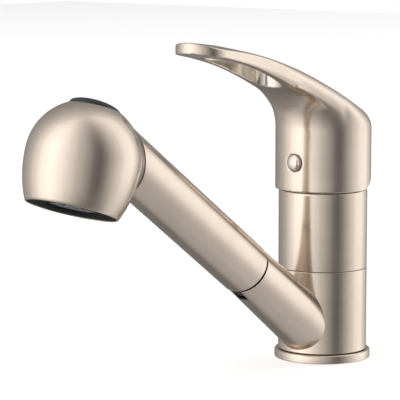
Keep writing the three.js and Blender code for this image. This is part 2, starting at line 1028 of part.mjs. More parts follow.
function makeCheckValve() {
  const outer = waterTubeRadius - waterTubeWall - seatGap;
  const bottom = waterTubeStart + tubeSupportHeight;
  return solid(
    turnedRing(
      [
        [checkValveBore, bottom],
        [outer, bottom],
        [outer, bottom + checkValveLength],
        [checkValveBore, bottom + checkValveLength],
      ],
      smallSides,
    ),
  );
}

function makeNeckCollar() {
  const stretch = 1 / Math.cos(radians(tubeRise));
  const start = collarSeam / 2;
  const ring = plainRing(wandBore, wandRadius, start, collarLength, tubeSides).scale(1, stretch, 1);
  const passage = rod(waterTubeRadius + seatGap, waterTubeStart, ballReach);
  return solid(ring).subtract(solid(carried(passage, tubeFrame, collarFrame)));
}

// Head pieces, about the head's own axis. Heights are from the ball's middle.

function ballOuter(height) {
  const semi = height > 0 ? ballUpperHeight : ballLowerHeight;
  return ballRadius * Math.sqrt(1 - (height / semi) ** 2);
}

function ballInner(height) {
  const radius = ballRadius - ballWall;
  const semi = height > 0 ? ballUpperHeight - ballWall : ballLowerHeight - ballWall;
  return radius * Math.sqrt(Math.max(0, 1 - (height / semi) ** 2));
}

// Points of a ball profile between two heights, closer together near the poles
function ballArc(radiusAt, semi, from, to, steps) {
  const start = Math.asin(from / semi);
  const end = Math.asin(to / semi);
  return Array.from({ length: steps + 1 }, (_, step) => {
    const height = semi * Math.sin(start + ((end - start) * step) / steps);
    return [radiusAt(height), height];
  });
}

function makeHeadShell() {
  const capRadius = ballOuter(capSeat);
  const rimRadius = ballOuter(-faceDepth) - rimWall;
  const innerUpper = ballUpperHeight - ballWall;
  const innerLower = ballLowerHeight - ballWall;
  const innerTop = innerUpper * Math.sqrt(1 - (capRadius / (ballRadius - ballWall)) ** 2);
  const bench = -(flangeDepth + flangeThickness + seatGap);
  const shell = solid(
    turnedRing([
      [rimRadius, -faceDepth],
      ...ballArc(ballOuter, ballLowerHeight, -faceDepth, 0, lowerBallSteps),
      ...ballArc(ballOuter, ballUpperHeight, 0, capSeat, upperBallSteps).slice(1),
      ...ballArc(ballInner, innerUpper, innerTop, 0, insideBallSteps),
      ...ballArc(ballInner, innerLower, 0, bench, insideBallSteps).slice(1),
      [rimRadius, bench],
    ]),
  );
  const stretch = 1 / Math.cos(radians(tubeRise));
  const hole = rod(wandRadius + seatGap, -overrun, collarLength + overrun, tubeSides).scale(1, stretch, 1);
  return shell.subtract(solid(carried(hole, collarFrame, headFrame)));
}

function makeDiverterBody() {
  const flangeRadius = ballInner(-flangeDepth - flangeThickness) - seatGap;
  const flangeBottom = -flangeDepth - flangeThickness;
  const outlet = diverterOutletRadius;
  const core = solid(
    turned(
      [
        [0, -outlet],
        [outlet, -outlet],
        [outlet, flangeBottom],
        [flangeRadius, flangeBottom],
        [flangeRadius, -flangeDepth],
        [diverterRadius, -flangeDepth],
        [diverterRadius, diverterTop],
        [0, diverterTop],
      ],
      tubeSides,
    ),
  );
  const earSide = lugWidth / 2 + runningGap;
  const earTop = togglePivot + lugRadius - 2 * seatGap;
  const ears = [-1, 1].map((side) => {
    const near = side * earSide;
    const far = side * (earSide + earWidth);
    return solid(
      block(
        corner(Math.min(near, far), -lugRadius, diverterTop - overrun),
        corner(Math.max(near, far), lugRadius, earTop),
      ),
    );
  });
  const axleHole = rod(axleRadius + seatGap, -diverterRadius, diverterRadius).rotateY(radians(90));
  const plungerFloor = diverterTop - plungerDepth - runningGap;
  const plungerHole = rod(plungerRadius + runningGap, plungerFloor, diverterTop + overrun);
  const inletRod = rod(waterTubeRadius - waterTubeWall, waterTubeStart, ballReach - overrun);
  const inlet = carried(inletRod, tubeFrame, headFrame);
  const shaft = rod(diverterOutletBore, -outlet - overrun, 0);
  return core
    .add(ears[0])
    .add(ears[1])
    .subtract(solid(axleHole.translate(0, 0, togglePivot)))
    .subtract(solid(plungerHole.translate(0, plungerOffset, 0)))
    .subtract(solid(inlet))
    .subtract(solid(shaft));
}

function makeFaceGasket() {
  const top = -(flangeDepth + flangeThickness + seatGap);
  return solid(plainRing(faceRadius - faceSkirt, faceRadius, top - gasketRingHeight, top, tubeSides));
}

function makeSprayFace() {
  const front = -faceDepth + faceInset;
  const back = front + faceThickness;
  const skirtTop = -(flangeDepth + flangeThickness + gasketRingHeight + 2 * seatGap);
  let face = solid(
    turnedRing(
      [
        [aeratorRadius + seatGap, front],
        [faceRadius - edgeChamfer, front],
        [faceRadius, front + edgeChamfer],
        [faceRadius, skirtTop],
        [faceRadius - faceSkirt, skirtTop],
        [faceRadius - faceSkirt, back],
        [aeratorRadius + seatGap, back],
      ],
      tubeSides,
    ),
  );
  for (const [x, y] of nozzlePlaces()) {
    const hole = rod(nozzleRadius + seatGap, front - overrun, back + overrun, nozzleSides).translate(x, y, 0);
    face = face.subtract(solid(hole));
  }
  return face;
}

function nozzlePlaces() {
  return Array.from({ length: nozzleCount }, (_, n) => {
    const angle = (2 * Math.PI * n) / nozzleCount;
    return [nozzleCircle * Math.cos(angle), nozzleCircle * Math.sin(angle)];
  });
}

function makeSprayNozzles() {
  const tip = -faceDepth + seatGap;
  const sheet = -faceDepth + faceInset + faceThickness + seatGap;
  const nozzles = nozzlePlaces().map(([x, y]) =>
    solid(
      turned(
        [
          [0, tip],
          [nozzleTipRadius, tip],
          [nozzleRadius, sheet + nozzleSheet / 2],
          [0, sheet + nozzleSheet / 2],
        ],
        nozzleSides,
      ).translate(x, y, 0),
    ),
  );
  const half = nozzleRadius + nozzleSheet;
  const ring = plainRing(nozzleCircle - half, nozzleCircle + half, sheet, sheet + nozzleSheet, hiddenSides);
  return nozzles.reduce((all, nozzle) => all.add(nozzle), solid(ring));
}

function makeAeratorHousing() {
  const front = -faceDepth + aeratorInset;
  return solid(plainRing(aeratorRadius - aeratorWall, aeratorRadius, front, front + aeratorDepth, tubeSides));
}

function makeAeratorScreen() {
  const front = -faceDepth + aeratorInset + seatGap;
  const back = front + screenThickness;
  let screen = solid(rod(screenRadius, front, back, tubeSides));
  screenRings.forEach((count, ring) => {
    for (let n = 0; n < count; n += 1) {
      const angle = (2 * Math.PI * n) / count;
      const reach = ring * screenPitch;
      const hole = rod(screenHoleRadius, front - overrun, back + overrun, screenHoleSides);
      screen = screen.subtract(solid(hole.translate(reach * Math.cos(angle), reach * Math.sin(angle), 0)));
    }
  });
  return screen;
}

// Rocker cap, in the frame of its pivot

function makeSprayToggle() {
  const radius = ballOuter(capSeat) - toggleGap;
  const edgeTop = capSeat - togglePivot + seatGap;
  const edgeBottom = edgeTop - capEdgeHeight;
  const dome = Array.from({ length: capDomeSteps - 1 }, (_, step) => {
    const angle = ((step + 1) / capDomeSteps) * (Math.PI / 2);
    return [radius * Math.cos(angle), edgeTop + capDome * Math.sin(angle)];
  });
  dome.push([0, edgeTop + capDome]);
  const cap = solid(turned([[0, edgeBottom], [radius, edgeBottom], [radius, edgeTop], ...dome], tubeSides));
  const lug = rod(lugRadius, -lugWidth / 2, lugWidth / 2).rotateY(radians(90));
  const web = block(corner(-lugWidth / 2, -lugRadius / 2, 0), corner(lugWidth / 2, lugRadius / 2, edgeTop));
  const axleHole = rod(axleRadius + runningGap, -lugWidth, lugWidth).rotateY(radians(90));
  const groove = block(
    corner(-radius, -capGrooveWidth / 2, edgeTop + capDome - capGrooveDepth),
    corner(radius, capGrooveWidth / 2, edgeTop + capDome + overrun),
  );
  return cap.add(solid(lug)).add(solid(web)).subtract(solid(axleHole)).subtract(solid(groove));
}

function makeToggleAxle() {
  const axle = rod(axleRadius, -axleLength / 2, axleLength / 2).rotateY(radians(90));
  return solid(axle.translate(0, 0, togglePivot));
}

function makePlunger() {
  const capUnderside = capSeat + seatGap - capEdgeHeight;
  const dip = plungerOffset * Math.tan(radians(toggleTilt)) + plungerRadius * Math.tan(radians(toggleTilt));
  const top = capUnderside - dip - runningGap;
  return solid(rod(plungerRadius, diverterTop - plungerDepth, top).translate(0, plungerOffset, 0));
}

// Lever stem, in the tilted frame of its pivot

function makeLeverStem() {
  const half = stemWidth / 2;
  const bar = block(corner(-half, -half, -stemRootReach), corner(half, half, stemReach));
  const arm = rod(stemArmRadius, -stemArmReach, -stemRootReach + overrun);
  const ball = new THREE.SphereGeometry(stemBallRadius, smallSides, smallSides / 2);
  ball.translate(0, 0, -stemArmReach);
  const pinHole = rod(stemPinRadius + seatGap, -stemWidth, stemWidth).rotateY(radians(90));
  return solid(bar).add(solid(arm)).add(solid(ball)).subtract(solid(pinHole));
}

// Handle: the round body and the loop lever share one crowned top

function crownHeight(y) {
  const share = (handleRadius - y) / (handleRadius + curveReach);
  return crownRearHeight + between(crownShares, share) * (crownTipHeight - crownRearHeight);
}

function undersideHeight(y) {
  const growth = between(thicknessShares, -y / curveReach);
  return crownHeight(y) - leverTipThickness - growth * (leverRootThickness - leverTipThickness);
}

// Where the lever's sides leave the round body
function rootPlace() {
  return -rootWidthShares[0][0] * curveReach;
}

function planHalfWidth(y) {
  const root = rootPlace();
  if (y > root) {
    return Math.sqrt(Math.max(0, handleRadius ** 2 - y ** 2));
  }
  const reach = -y / curveReach;
  const rootHalfWidth = Math.sqrt(handleRadius ** 2 - root ** 2);
  const widening = between(rootWidthShares, reach) * (rootHalfWidth - leverHalfWidth);
  const past = Math.max(0, -y - tipCentre);
  return Math.sqrt(Math.max(0, leverHalfWidth ** 2 - past ** 2)) + widening;
}

function edgeRound(y) {
  const growth = between(edgeRoundShares, -y / curveReach);
  return leverEdgeRound + growth * (handleEdgeRound - leverEdgeRound);
}

// Height of the crowned top at a place in plan
function topHeight(x, y) {
  const halfWidth = planHalfWidth(y);
  const inset = y > rootPlace() ? handleRadius - Math.hypot(x, y) : halfWidth - Math.abs(x);
  const round = edgeRound(y);
  const into = Math.min(Math.max(inset, 0), round);
  const drop = round - Math.sqrt(Math.max(0, round ** 2 - (round - into) ** 2));
  const arch = crownRadius - Math.sqrt(crownRadius ** 2 - x ** 2);
  return crownHeight(y) - arch - drop;
}

// Stations along the handle, from the rear to the tip. The first is a short edge, not a point.
function handleStations() {
  const stations = [];
  const turns = columnSides / 2;
  for (let n = 0; n <= turns; n += 1) {
    const angle = n === 0 ? Math.PI / turns / 4 : (Math.PI * n) / turns;
    const y = handleRadius * Math.cos(angle);
    if (y > rootPlace()) {
      stations.push(y);
    }
  }
  const leverPlaces = rootWidthShares.map(([share]) => -share * curveReach);
  const tipPlaces = tipTurnShares.map((share) => -tipCentre - leverHalfWidth * Math.sin((share * Math.PI) / 2));
  return [...stations, ...leverPlaces, ...tipPlaces];
}

// The crowned top over the whole outline in plan, with upright sides
function makeCrownedBlank(bottom) {
  const positions = [];
  const stations = handleStations();
  for (const y of stations) {
    const halfWidth = planHalfWidth(y);
    const ring = acrossShares.map((share) => [share * halfWidth, y, topHeight(share * halfWidth, y)]);
    positions.push([-halfWidth, y, bottom], ...ring, [halfWidth, y, bottom]);
  }
  const around = acrossShares.length + 2;
  const index = [];
  for (let n = 0; n + 1 < stations.length; n += 1) {
    for (let k = 0; k < around; k += 1) {
      const next = (k + 1) % around;
      const [a, b] = [n * around + k, n * around + next];
      index.push(a, b, a + around, b, b + around, a + around);
    }
  }
  const last = (stations.length - 1) * around;
  for (let k = 1; k + 1 < around; k += 1) {
    index.push(0, k + 1, k);
    index.push(last, last + k, last + k + 1);
  }
  const geometry = new THREE.BufferGeometry();
  geometry.setAttribute("position", new THREE.Float32BufferAttribute(positions.flat(), 3));
  geometry.setIndex(index);
  return geometry;
}

// A side view outline of Y and Z pairs, run through along X
function sideSlab(outline, halfWidth) {
  const shape = new THREE.Shape(outline.map(([y, z]) => new THREE.Vector2(y, z)));
  const slab = new THREE.ExtrudeGeometry(shape, { depth: 2 * halfWidth, bevelEnabled: false });
  slab.translate(0, 0, -halfWidth);
  return slab.applyMatrix4(new THREE.Matrix4().set(0, 0, 1, 0, 1, 0, 0, 0, 0, 1, 0, 0, 0, 0, 0, 1));
}

// A plan outline of X and Y pairs, run up along Z
function planPrism(outline, bottom, top) {
  const shape = new THREE.Shape(outline.map(([x, y]) => new THREE.Vector2(x, y)));
  const prism = new THREE.ExtrudeGeometry(shape, { depth: top - bottom, bevelEnabled: false });
  return prism.translate(0, 0, bottom);
}

function loopOutline() {
  const near = loopShares.map(([along, wide]) => [
    wide * loopHalfWidth,
    -(loopBack + along * (loopFront - loopBack)),
  ]);
  const far = near.map(([x, y]) => [-x, y]).reverse();
  return [[0, -loopBack], ...near, [0, -loopFront], ...far];
}

function makeHandleOuter() {
  const under = thicknessShares.map(([share]) => [-share * curveReach, undersideHeight(-share * curveReach)]);
  const ceiling = crownTipHeight + overrun;
  const front = -curveReach - overrun;
  const lever = sideSlab(
    [
      [0, undersideHeight(0)],
      ...under,
      [front, undersideHeight(-curveReach)],
      [front, ceiling],
      [0, ceiling],
    ],
    handleRadius + overrun,
  );
  const column = rod(handleRadius, handleBottom, crownTipHeight, columnSides);
  const flareHeight = flareTopHeight - flareStartHeight;
  const flare = turned([
    [0, flareStartHeight],
    ...flareShares.map(([up, out]) => [handleRadius + out * flareReach, flareStartHeight + up * flareHeight]),
    [0, flareStartHeight + flareShares.at(-1)[0] * flareHeight],
  ]);
  const blank = solid(makeCrownedBlank(handleBottom));
  return solid(lever).add(solid(column)).add(solid(flare)).intersect(blank);
}

function makeHandle() {
  const lipHeight = handleBottom + skirtWallHeight;
  const wallRadius = handleRadius - handleWall;
  const cavityTop = handleBottom + cavityHeight;
  const cavity = solid(
    turned([
      [0, handleBottom - overrun],
      [skirtBore, handleBottom - overrun],
      [skirtBore, lipHeight],
      [wallRadius, lipHeight + skirtBore - wallRadius],
      [wallRadius, cavityTop - cavityCorner],
      [wallRadius - cavityCorner, cavityTop],
      [0, cavityTop],
    ]),
  );
  const boss = carried(rod(bossRadius, stemRootReach, bossReach), stemFrame, faucet);
  const screwAxis = handleBottom + buttonHeight;
  const rib = block(
    corner(-screwRibWidth / 2, -handleRadius + handleWall - overrun, screwAxis - screwRibWidth / 2),
    corner(screwRibWidth / 2, -bossRadius, screwAxis + screwRibWidth / 2),
  );
  const domeRoom = new THREE.SphereGeometry(domeRadius + 2 * runningGap, columnSides, columnSides / 2)
    .rotateX(radians(90))
    .translate(0, 0, pivotHeight);
  const half = stemWidth / 2 + seatGap;
  const socket = block(corner(-half, -half, stemRootReach), corner(half, half, stemReach + seatGap));
  const screwHole = rod(screwRadius + seatGap, 0, handleRadius);
  screwHole.rotateX(radians(90)).translate(0, 0, screwAxis);
  const buttonFloor = handleRadius - buttonLength - seatGap;
  const buttonHole = rod(buttonRadius + seatGap, buttonFloor, handleRadius + overrun);
  buttonHole.rotateX(radians(90)).translate(0, 0, screwAxis);
  const backReach = handleRadius + overrun;
  const relief = sideSlab(
    [
      [reliefStart, handleBottom],
      [reliefStart, handleBottom - overrun],
      [backReach, handleBottom - overrun],
      [backReach, handleBottom + (backReach - reliefStart) * Math.tan(radians(liftAngle))],
    ],
    handleRadius + overrun,
  );
  const loop = planPrism(loopOutline(), undersideHeight(-loopBack) - handleWall, crownTipHeight + overrun);
  const hollow = cavity.subtract(solid(boss)).subtract(solid(rib)).add(solid(domeRoom));
  return makeHandleOuter()
    .subtract(hollow)
    .subtract(solid(carried(socket, stemFrame, faucet)))
    .subtract(solid(screwHole))
    .subtract(solid(buttonHole))
    .subtract(solid(relief))
    .subtract(solid(loop));
}

function makeIndexButton() {
  const back = handleRadius - buttonLength;
  const button = turned(
    [
      [0, back],
      [buttonRadius, back],
      ...crownTurnShares.map((share) => [
        buttonRadius * Math.cos((share * Math.PI) / 2),
        handleRadius + buttonCrown * Math.sin((share * Math.PI) / 2),
      ]),
      [0, handleRadius + buttonCrown],
    ],
    smallSides,
  );
  return solid(button.rotateX(radians(90)).translate(0, 0, handleBottom + buttonHeight));
}

function makeSetScrew() {
  const rise = handleBottom + buttonHeight - pivotHeight;
  const stemFace = rise * Math.tan(radians(stemTilt)) + stemWidth / 2 / Math.cos(radians(stemTilt));
  const tip = stemFace + runningGap + screwRadius * Math.tan(radians(stemTilt));
  const head = tip + screwLength;
  const screw = solid(rod(screwRadius, tip, head));
  const socketHole = rod(screwSocketRadius, head - screwSocketDepth, head + overrun, hexSides);
  const cut = screw.subtract(solid(socketHole));
  const geometry = geometryOf(cut).rotateX(radians(90)).translate(0, 0, handleBottom + buttonHeight);
  return solid(geometry);
}

// The faucet, piece by piece

place("base_ring", makeBaseRing(), nickel);
place("base_gasket", makeBaseGasket(), rubber);
place("valve_foot", makeValveFoot(), brass);
place("valve_cup", makeValveCup(), brass);
place("lower_glide_ring", makeGlideRing(baseHeight + seatGap), whitePlastic);
place("upper_glide_ring", makeGlideRing(upperBodyBottom - glideRingHeight + seatGap), whitePlastic);
place("lower_o_ring", makeRubberRing(baseHeight + lowerGrooveHeight), rubber);
place("upper_o_ring", makeRubberRing(upperBodyBottom - upperGrooveDrop), rubber);
place("upper_body", makeUpperBody(), nickel);
place("inlet_seals", makeInletSeals(), rubber);
place("cartridge_base", makeCartridgeBase(), whitePlastic);
place("fixed_disc", makeFixedDisc(), ceramic);
place("cartridge_housing", makeCartridgeHousing(), whitePlastic);
place("bonnet_nut", makeBonnetNut(), brass);
place("dome_cap", makeDomeCap(), nickel);
place("spout_hub", makeSpoutHub(), nickel);
place("hose_guide", makeHoseGuide(), blackPlastic, tubeFrame);
place("wand_tube", makeWandTube(), nickel, tubeFrame);
place("dock_spigot", makeDockSpigot(), blackPlastic, tubeFrame);
place("hose_inlet", makeHoseInlet(), brass, tubeFrame);
place("inlet_washer", makeInletWasher(), rubber, tubeFrame);
place("water_tube", makeWaterTube(), whitePlastic, tubeFrame);
place("check_valve", makeCheckValve(), greyPlastic, tubeFrame);
place("neck_collar", makeNeckCollar(), nickel, collarFrame);
place("head_shell", makeHeadShell(), nickel, headFrame);
place("diverter_body", makeDiverterBody(), blackPlastic, headFrame);
place("face_gasket", makeFaceGasket(), rubber, headFrame);
place("spray_face", makeSprayFace(), blackPlastic, headFrame);
place("spray_nozzles", makeSprayNozzles(), rubber, headFrame);
place("aerator_housing", makeAeratorHousing(), greyPlastic, headFrame);
place("aerator_screen", makeAeratorScreen(), greyPlastic, headFrame);
place("toggle_axle", makeToggleAxle(), steel, headFrame);
place("spray_toggle", makeSprayToggle(), blackPlastic, toggleFrame);
place("diverter_plunger", makePlunger(), whitePlastic, headFrame);
place("stem_collar", makeStemCollar(), whitePlastic);
place("stem_pin", makeStemPin(), steel);
place("disc_carrier", makeDiscCarrier(), whitePlastic);
place("moving_disc", makeMovingDisc(), ceramic);
place("lever_stem", makeLeverStem(), brass, stemFrame);
place("handle", makeHandle(), nickel);
place("set_screw", makeSetScrew(), steel);
place("index_button", makeIndexButton(), brightNickel);

export default faucet;
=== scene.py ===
"""Looks for the single lever kitchen faucet: finer visible pieces, materials, studio and camera."""

import json
import math

import bmesh
import bpy
from mathutils import Matrix, Vector


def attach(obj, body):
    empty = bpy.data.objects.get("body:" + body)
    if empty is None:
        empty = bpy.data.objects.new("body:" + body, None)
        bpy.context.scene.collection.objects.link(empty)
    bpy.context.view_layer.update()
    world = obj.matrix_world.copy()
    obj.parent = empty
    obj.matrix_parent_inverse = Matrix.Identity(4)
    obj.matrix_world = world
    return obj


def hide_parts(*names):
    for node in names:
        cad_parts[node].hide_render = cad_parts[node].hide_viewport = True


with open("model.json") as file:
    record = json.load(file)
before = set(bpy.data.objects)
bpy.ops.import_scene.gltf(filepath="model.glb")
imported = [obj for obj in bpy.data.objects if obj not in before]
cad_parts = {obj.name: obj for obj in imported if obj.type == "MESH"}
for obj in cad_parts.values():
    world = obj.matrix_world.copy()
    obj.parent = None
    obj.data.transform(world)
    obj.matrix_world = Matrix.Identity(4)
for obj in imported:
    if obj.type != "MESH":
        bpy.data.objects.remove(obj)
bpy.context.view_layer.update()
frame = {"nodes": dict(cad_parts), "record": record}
scene = bpy.context.scene

# Lengths and places are in millimetres, angles in degrees. Cutters run past what they cut by OVERRUN.
MM = 0.001
OVERRUN = 2.0
# Points nearer than this are one point
WELD = 0.0001
# Corners whose half angle is above this stay sharp, and a rounding takes this share of a side at most
NEARLY_STRAIGHT = 88
SIDE_SHARE = 0.45

# Camera fitted to the photograph: its place, turn and pitch, with the focal length in the photograph's pixels
CAMERA_PLACE = (696.46397, -932.23288, 235.64242)
CAMERA_TURN = 39.9
CAMERA_PITCH = 7.55
CAMERA_SHIFT = (-0.0005, 0.0011)
CAMERA_REACH = 20000.0
FOCAL_PIXELS = 2258.9
PHOTO_PIXELS = 400
SENSOR_WIDTH = 36.0

# Column
BODY_R = 23.0
BASE_R = 24.84
BASE_H = 4.4
BASE_BORE = 20.2
BASE_EDGES = [0, 0, 0, 0, 0.15, 0.45, 0.8, 0.2]
GASKET_BORE = 21.64
GASKET_WALL = 1.0
GASKET_DEPTH = 1.2
HUB_LOW = 4.8
HUB_TOP = 47.22
HUB_BORE = 19.6
HUB_EDGE = 0.35
POCKET_R = 21.4
POCKET_H = 2.0
SLEEVE_LOW = 47.42
SLEEVE_TOP = 88.1
SLEEVE_BORE = 21.4
SLEEVE_EDGE = 0.35
SLEEVE_ROUND = 0.3
LIP_BORE = 19.2
LIP_H = 1.8
PIVOT_Z = 76.0
DOME_R = 22.5
DOME_WALL = 1.5
DOME_OUTER = 19.0
DOME_HOLE = 11.0
DOME_SINK = 1.9

# Slanted tube
TUBE_RISE = 35.0
TUBE_Z = 8.69
STUB_ROOT_R = 15.66
STUB_END_R = 13.06
STUB_END = 77.8
STUB_EDGE = 0.2
STUB_BORE = 9.2
SOCKET_BORE = 10.8
SOCKET_START = 56.29
NOTCH_W = 5.8
NOTCH_L = 7.0
WAND_START = 79.5
WAND_R = 13.45
WAND_BORE = 11.2
WAND_EDGE = 0.3
WAND_EDGE_SHARE = 0.3
WAND_STRAIGHT = 40.0
WAND_SEAM = 0.1
# The rounding at the wand's slanted end: what comes off the radius, and how far each ring stays from the end
WAND_LIP = [(0, 0.4), (0, 0.22), (0.08, 0.06), (0.25, 0)]

# Two stepped rings between the wand and the ball
COLLAR_Y = 154.6
COLLAR_END = 9.2
RING_PITCH = 3.2
RING_GAP = 0.12
RING_STEP = 0.16
RING_DEPTH = 0.6
RING_CUT = 0.1
RING_EDGE = 0.15
RISE_START = 2.45
RISE_LENGTH = 0.2

# Ball head
BALL_S = 212.8
BALL_DROP = 14.05
HEAD_TILT = 19.22
BALL_R = 26.88
BALL_UP = 27.02
BALL_LOW = 41.41
BALL_WALL = 2.2
BENCH_H = 17.1
FACE_H = 24.37
RIM_WALL = 0.85
RIM_ROUND = 0.2
# The rounded rim, as places outward from its bore and up from its end
RIM_LIP = [(0, 0.25), (0.15, 0.05), (0.35, 0), (RIM_WALL - 0.15, 0.02)]
CAP_SEAT = 23.8
SEAT_ROUND = 0.12
SEAT_WALL = 0.22
# The edge at the cap's seat, as places inward from the ball and up from the seat
SEAT_LIP = [(0.05, 0.02), (0.2, -0.1)]
HOLE_GAP = 0.12
# How far from its rim and from the cap's seat the ball's own surface starts
RIM_CLEAR = 0.35
SEAT_CLEAR = 0.2

# Rocker cap
TOGGLE_Z = 19.4
TOGGLE_TILT = 4.0
TOGGLE_GAP = 0.5
TOGGLE_EDGE = 1.8
TOGGLE_RISE = 0.2
TOGGLE_ROUND = 0.3
TOGGLE_INSET = 0.05
TOGGLE_DOME = 3.2
GROOVE_HALF = 0.5
GROOVE_DEPTH = 0.6
WEB_HALF = (4.0, 1.1)
WEB_SINK = 0.5

# Spray face. The steps are radii with their depths behind the front.
FACE_INSET = 0.5
FACE_GAP = 0.2
FACE_THICK = 2.6
FACE_STEPS = [(12.4, 0), (13.0, 0.9), (14.2, 0.9), (14.6, 0.4), (17.8, 0.4), (18.2, 0)]
FACE_ROUND = 0.2
SKIRT_H = 18.2
SKIRT_WALL = 1.8

# Handle. Its outline from above runs TRIM_GAP outside the round body.
HANDLE_R = 24.84
TRIM_GAP = 0.05
BLANK_R = HANDLE_R + TRIM_GAP
HANDLE_LOW = 88.32
LEVER_REACH = 117.0
LEVER_HALF = 14.0
LEVER_THIN = 4.8
LEVER_THICK = 14.7
TIP_CENTRE = 96.1
CROWN_REAR = 126.5
CROWN_TIP = 169.1
CROWN_R = 45.0
CROWN_ABOVE = 172.0
UNDER_WIDTH = 3.4
VOXEL = 0.45

# The trumpet under the lever. It is full up to an angle from the front and fades over the next stretch.
FLARE_LOW = 116.0
FLARE_RISE = 36.0
FLARE_REACH = 20.0
FLARE_TOP = 0.78
FLARE_SIDE = 0.12
FLARE_INSET = 0.15
FLARE_FULL = 35
FLARE_FADE = 40

# Where the lever's root starts to be softened, and over what length it comes to full
SOFT_Y = -31
SOFT_Y_RUN = 13
SOFT_Z = 113
SOFT_Z_RUN = 10

# Inside of the handle
MOUTH_R = 23.3
MOUTH_H = 3.0
CAVITY_R = 21.64
CAVITY_SIDE = 107.5
CAVITY_TOP = 112.0
CAVITY_TOP_R = 17.1
RELIEF_START = 3.3
LIFT = 25

# Loop hole through the lever
LOOP_FRONT = 94.0
LOOP_BACK = 41.7
LOOP_HALF = 10.4
LOOP_MIDDLE = 67.0
LOOP_LOW = 120.0
LOOP_TOP = 180.0
# Faces of the handle this near to the hole, and steeper than this, are its walls
LOOP_MARGIN = 1.0
LOOP_SIDE_MARGIN = 0.6
LOOP_STEEPNESS = 0.5

# Button on the front of the handle, at distances from the column's axis
BUTTON_Z = 103.4
BUTTON_R = 4.35
BUTTON_HOLE_R = 4.5
BUTTON_HOLE_START = 21.4
BUTTON_HOLE_END = 30.0
BUTTON_START = 21.7
BUTTON_RIM = 24.65
BUTTON_CROWN = 24.75
BUTTON_RISE = 1.7
BUTTON_FULLNESS = 0.9


def radians(degrees):
    return math.radians(degrees)


tube_frame = Matrix.Translation((0, 0, TUBE_Z)) @ Matrix.Rotation(radians(90 - TUBE_RISE), 4, "X")
head_frame = (
    tube_frame
    @ Matrix.Translation((0, -BALL_DROP, BALL_S))
    @ Matrix.Rotation(radians(TUBE_RISE - 90 - HEAD_TILT), 4, "X")
)
toggle_frame = (
    head_frame
    @ Matrix.Translation((0, 0, TOGGLE_Z))
    @ Matrix.Rotation(radians(-TOGGLE_TILT), 4, "X")
)
collar_frame = Matrix.Translation(
    (0, -COLLAR_Y, TUBE_Z + COLLAR_Y * math.tan(radians(TUBE_RISE)))
) @ Matrix.Rotation(radians(90), 4, "X")
column_frame = Matrix.Identity(4)
front_frame = Matrix.Translation((0, 0, BUTTON_Z)) @ Matrix.Rotation(radians(90), 4, "X")


def make_camera():
    data = bpy.data.cameras.new("camera")
    data.sensor_width = SENSOR_WIDTH
    data.lens = FOCAL_PIXELS / PHOTO_PIXELS * SENSOR_WIDTH
    data.clip_end = CAMERA_REACH * MM
    data.shift_x, data.shift_y = CAMERA_SHIFT
    obj = bpy.data.objects.new("camera", data)
    scene.collection.objects.link(obj)
    place = Matrix.Translation(Vector(CAMERA_PLACE) * MM)
    turn = Matrix.Rotation(radians(CAMERA_TURN), 4, "Z")
    pitch = Matrix.Rotation(radians(90 - CAMERA_PITCH), 4, "X")
    obj.matrix_world = place @ turn @ pitch
    scene.camera = obj


# Mesh helpers

def link(name, mesh):
    obj = bpy.data.objects.new(name, mesh)
    scene.collection.objects.link(obj)
    return obj


def mesh_from(name, points, faces):
    mesh = bpy.data.meshes.new(name)
    mesh.from_pydata([Vector(p) * MM for p in points], [], faces)
    mesh.validate()
    work = bmesh.new()
    work.from_mesh(mesh)
    bmesh.ops.remove_doubles(work, verts=work.verts, dist=WELD * MM)
    bmesh.ops.recalc_face_normals(work, faces=work.faces)
    work.to_mesh(mesh)
    work.free()
    return mesh


def smooth(mesh, angle=32.0):
    mesh.shade_smooth()
    mesh.set_sharp_from_angle(angle=radians(angle))


def rounded(profile, radius, steps=4, closed=True):
    """A profile with its corners rounded. radius is one number, or one for each corner."""
    count = len(profile)
    radii = radius if isinstance(radius, (list, tuple)) else [radius] * count
    out = []
    for i, here in enumerate(profile):
        if not closed and i in (0, count - 1) or radii[i] <= 0:
            out.append(here)
            continue
        p = Vector(here)
        a = Vector(profile[i - 1]) - p
        b = Vector(profile[(i + 1) % count]) - p
        cos = max(-1.0, min(1.0, a.normalized().dot(b.normalized())))
        half = math.acos(cos) / 2
        if half > radians(NEARLY_STRAIGHT):
            out.append(here)
            continue
        r = min(radii[i], SIDE_SHARE * min(a.length, b.length) * math.tan(half))
        reach = r / math.tan(half)
        start = p + a.normalized() * reach
        end = p + b.normalized() * reach
        centre = p + (a.normalized() + b.normalized()).normalized() * (r / math.sin(half))
        for k in range(steps + 1):
            t = k / steps
            q = start.lerp(end, t) - centre
            out.append(tuple(centre + q.normalized() * r))
    return out


def lathe(name, profile, place=column_frame, steps=128, closed=True):
    """Turns (radius, height) pairs about the local Z axis."""
    points, faces = [], []
    count = len(profile)
    for k in range(steps):
        angle = 2 * math.pi * k / steps
        c, s = math.cos(angle), math.sin(angle)
        for r, h in profile:
            points.append(place @ Vector((r * c, r * s, h)))
    spans = count if closed else count - 1
    for k in range(steps):
        n = (k + 1) % steps
        for i in range(spans):
            j = (i + 1) % count
            faces.append((k * count + i, n * count + i, n * count + j, k * count + j))
    mesh = mesh_from(name, points, faces)
    smooth(mesh)
    return link(name, mesh)


def prism(name, outline, low, high, place=column_frame):
    """A plan outline run along the local Z axis, as a cutter."""
    count = len(outline)
    points = [place @ Vector((x, y, low)) for x, y in outline]
    points += [place @ Vector((x, y, high)) for x, y in outline]
    faces = [tuple(range(count))[::-1], tuple(range(count, 2 * count))]
    faces += [(i, (i + 1) % count, count + (i + 1) % count, count + i) for i in range(count)]
    return link(name, mesh_from(name, points, faces))


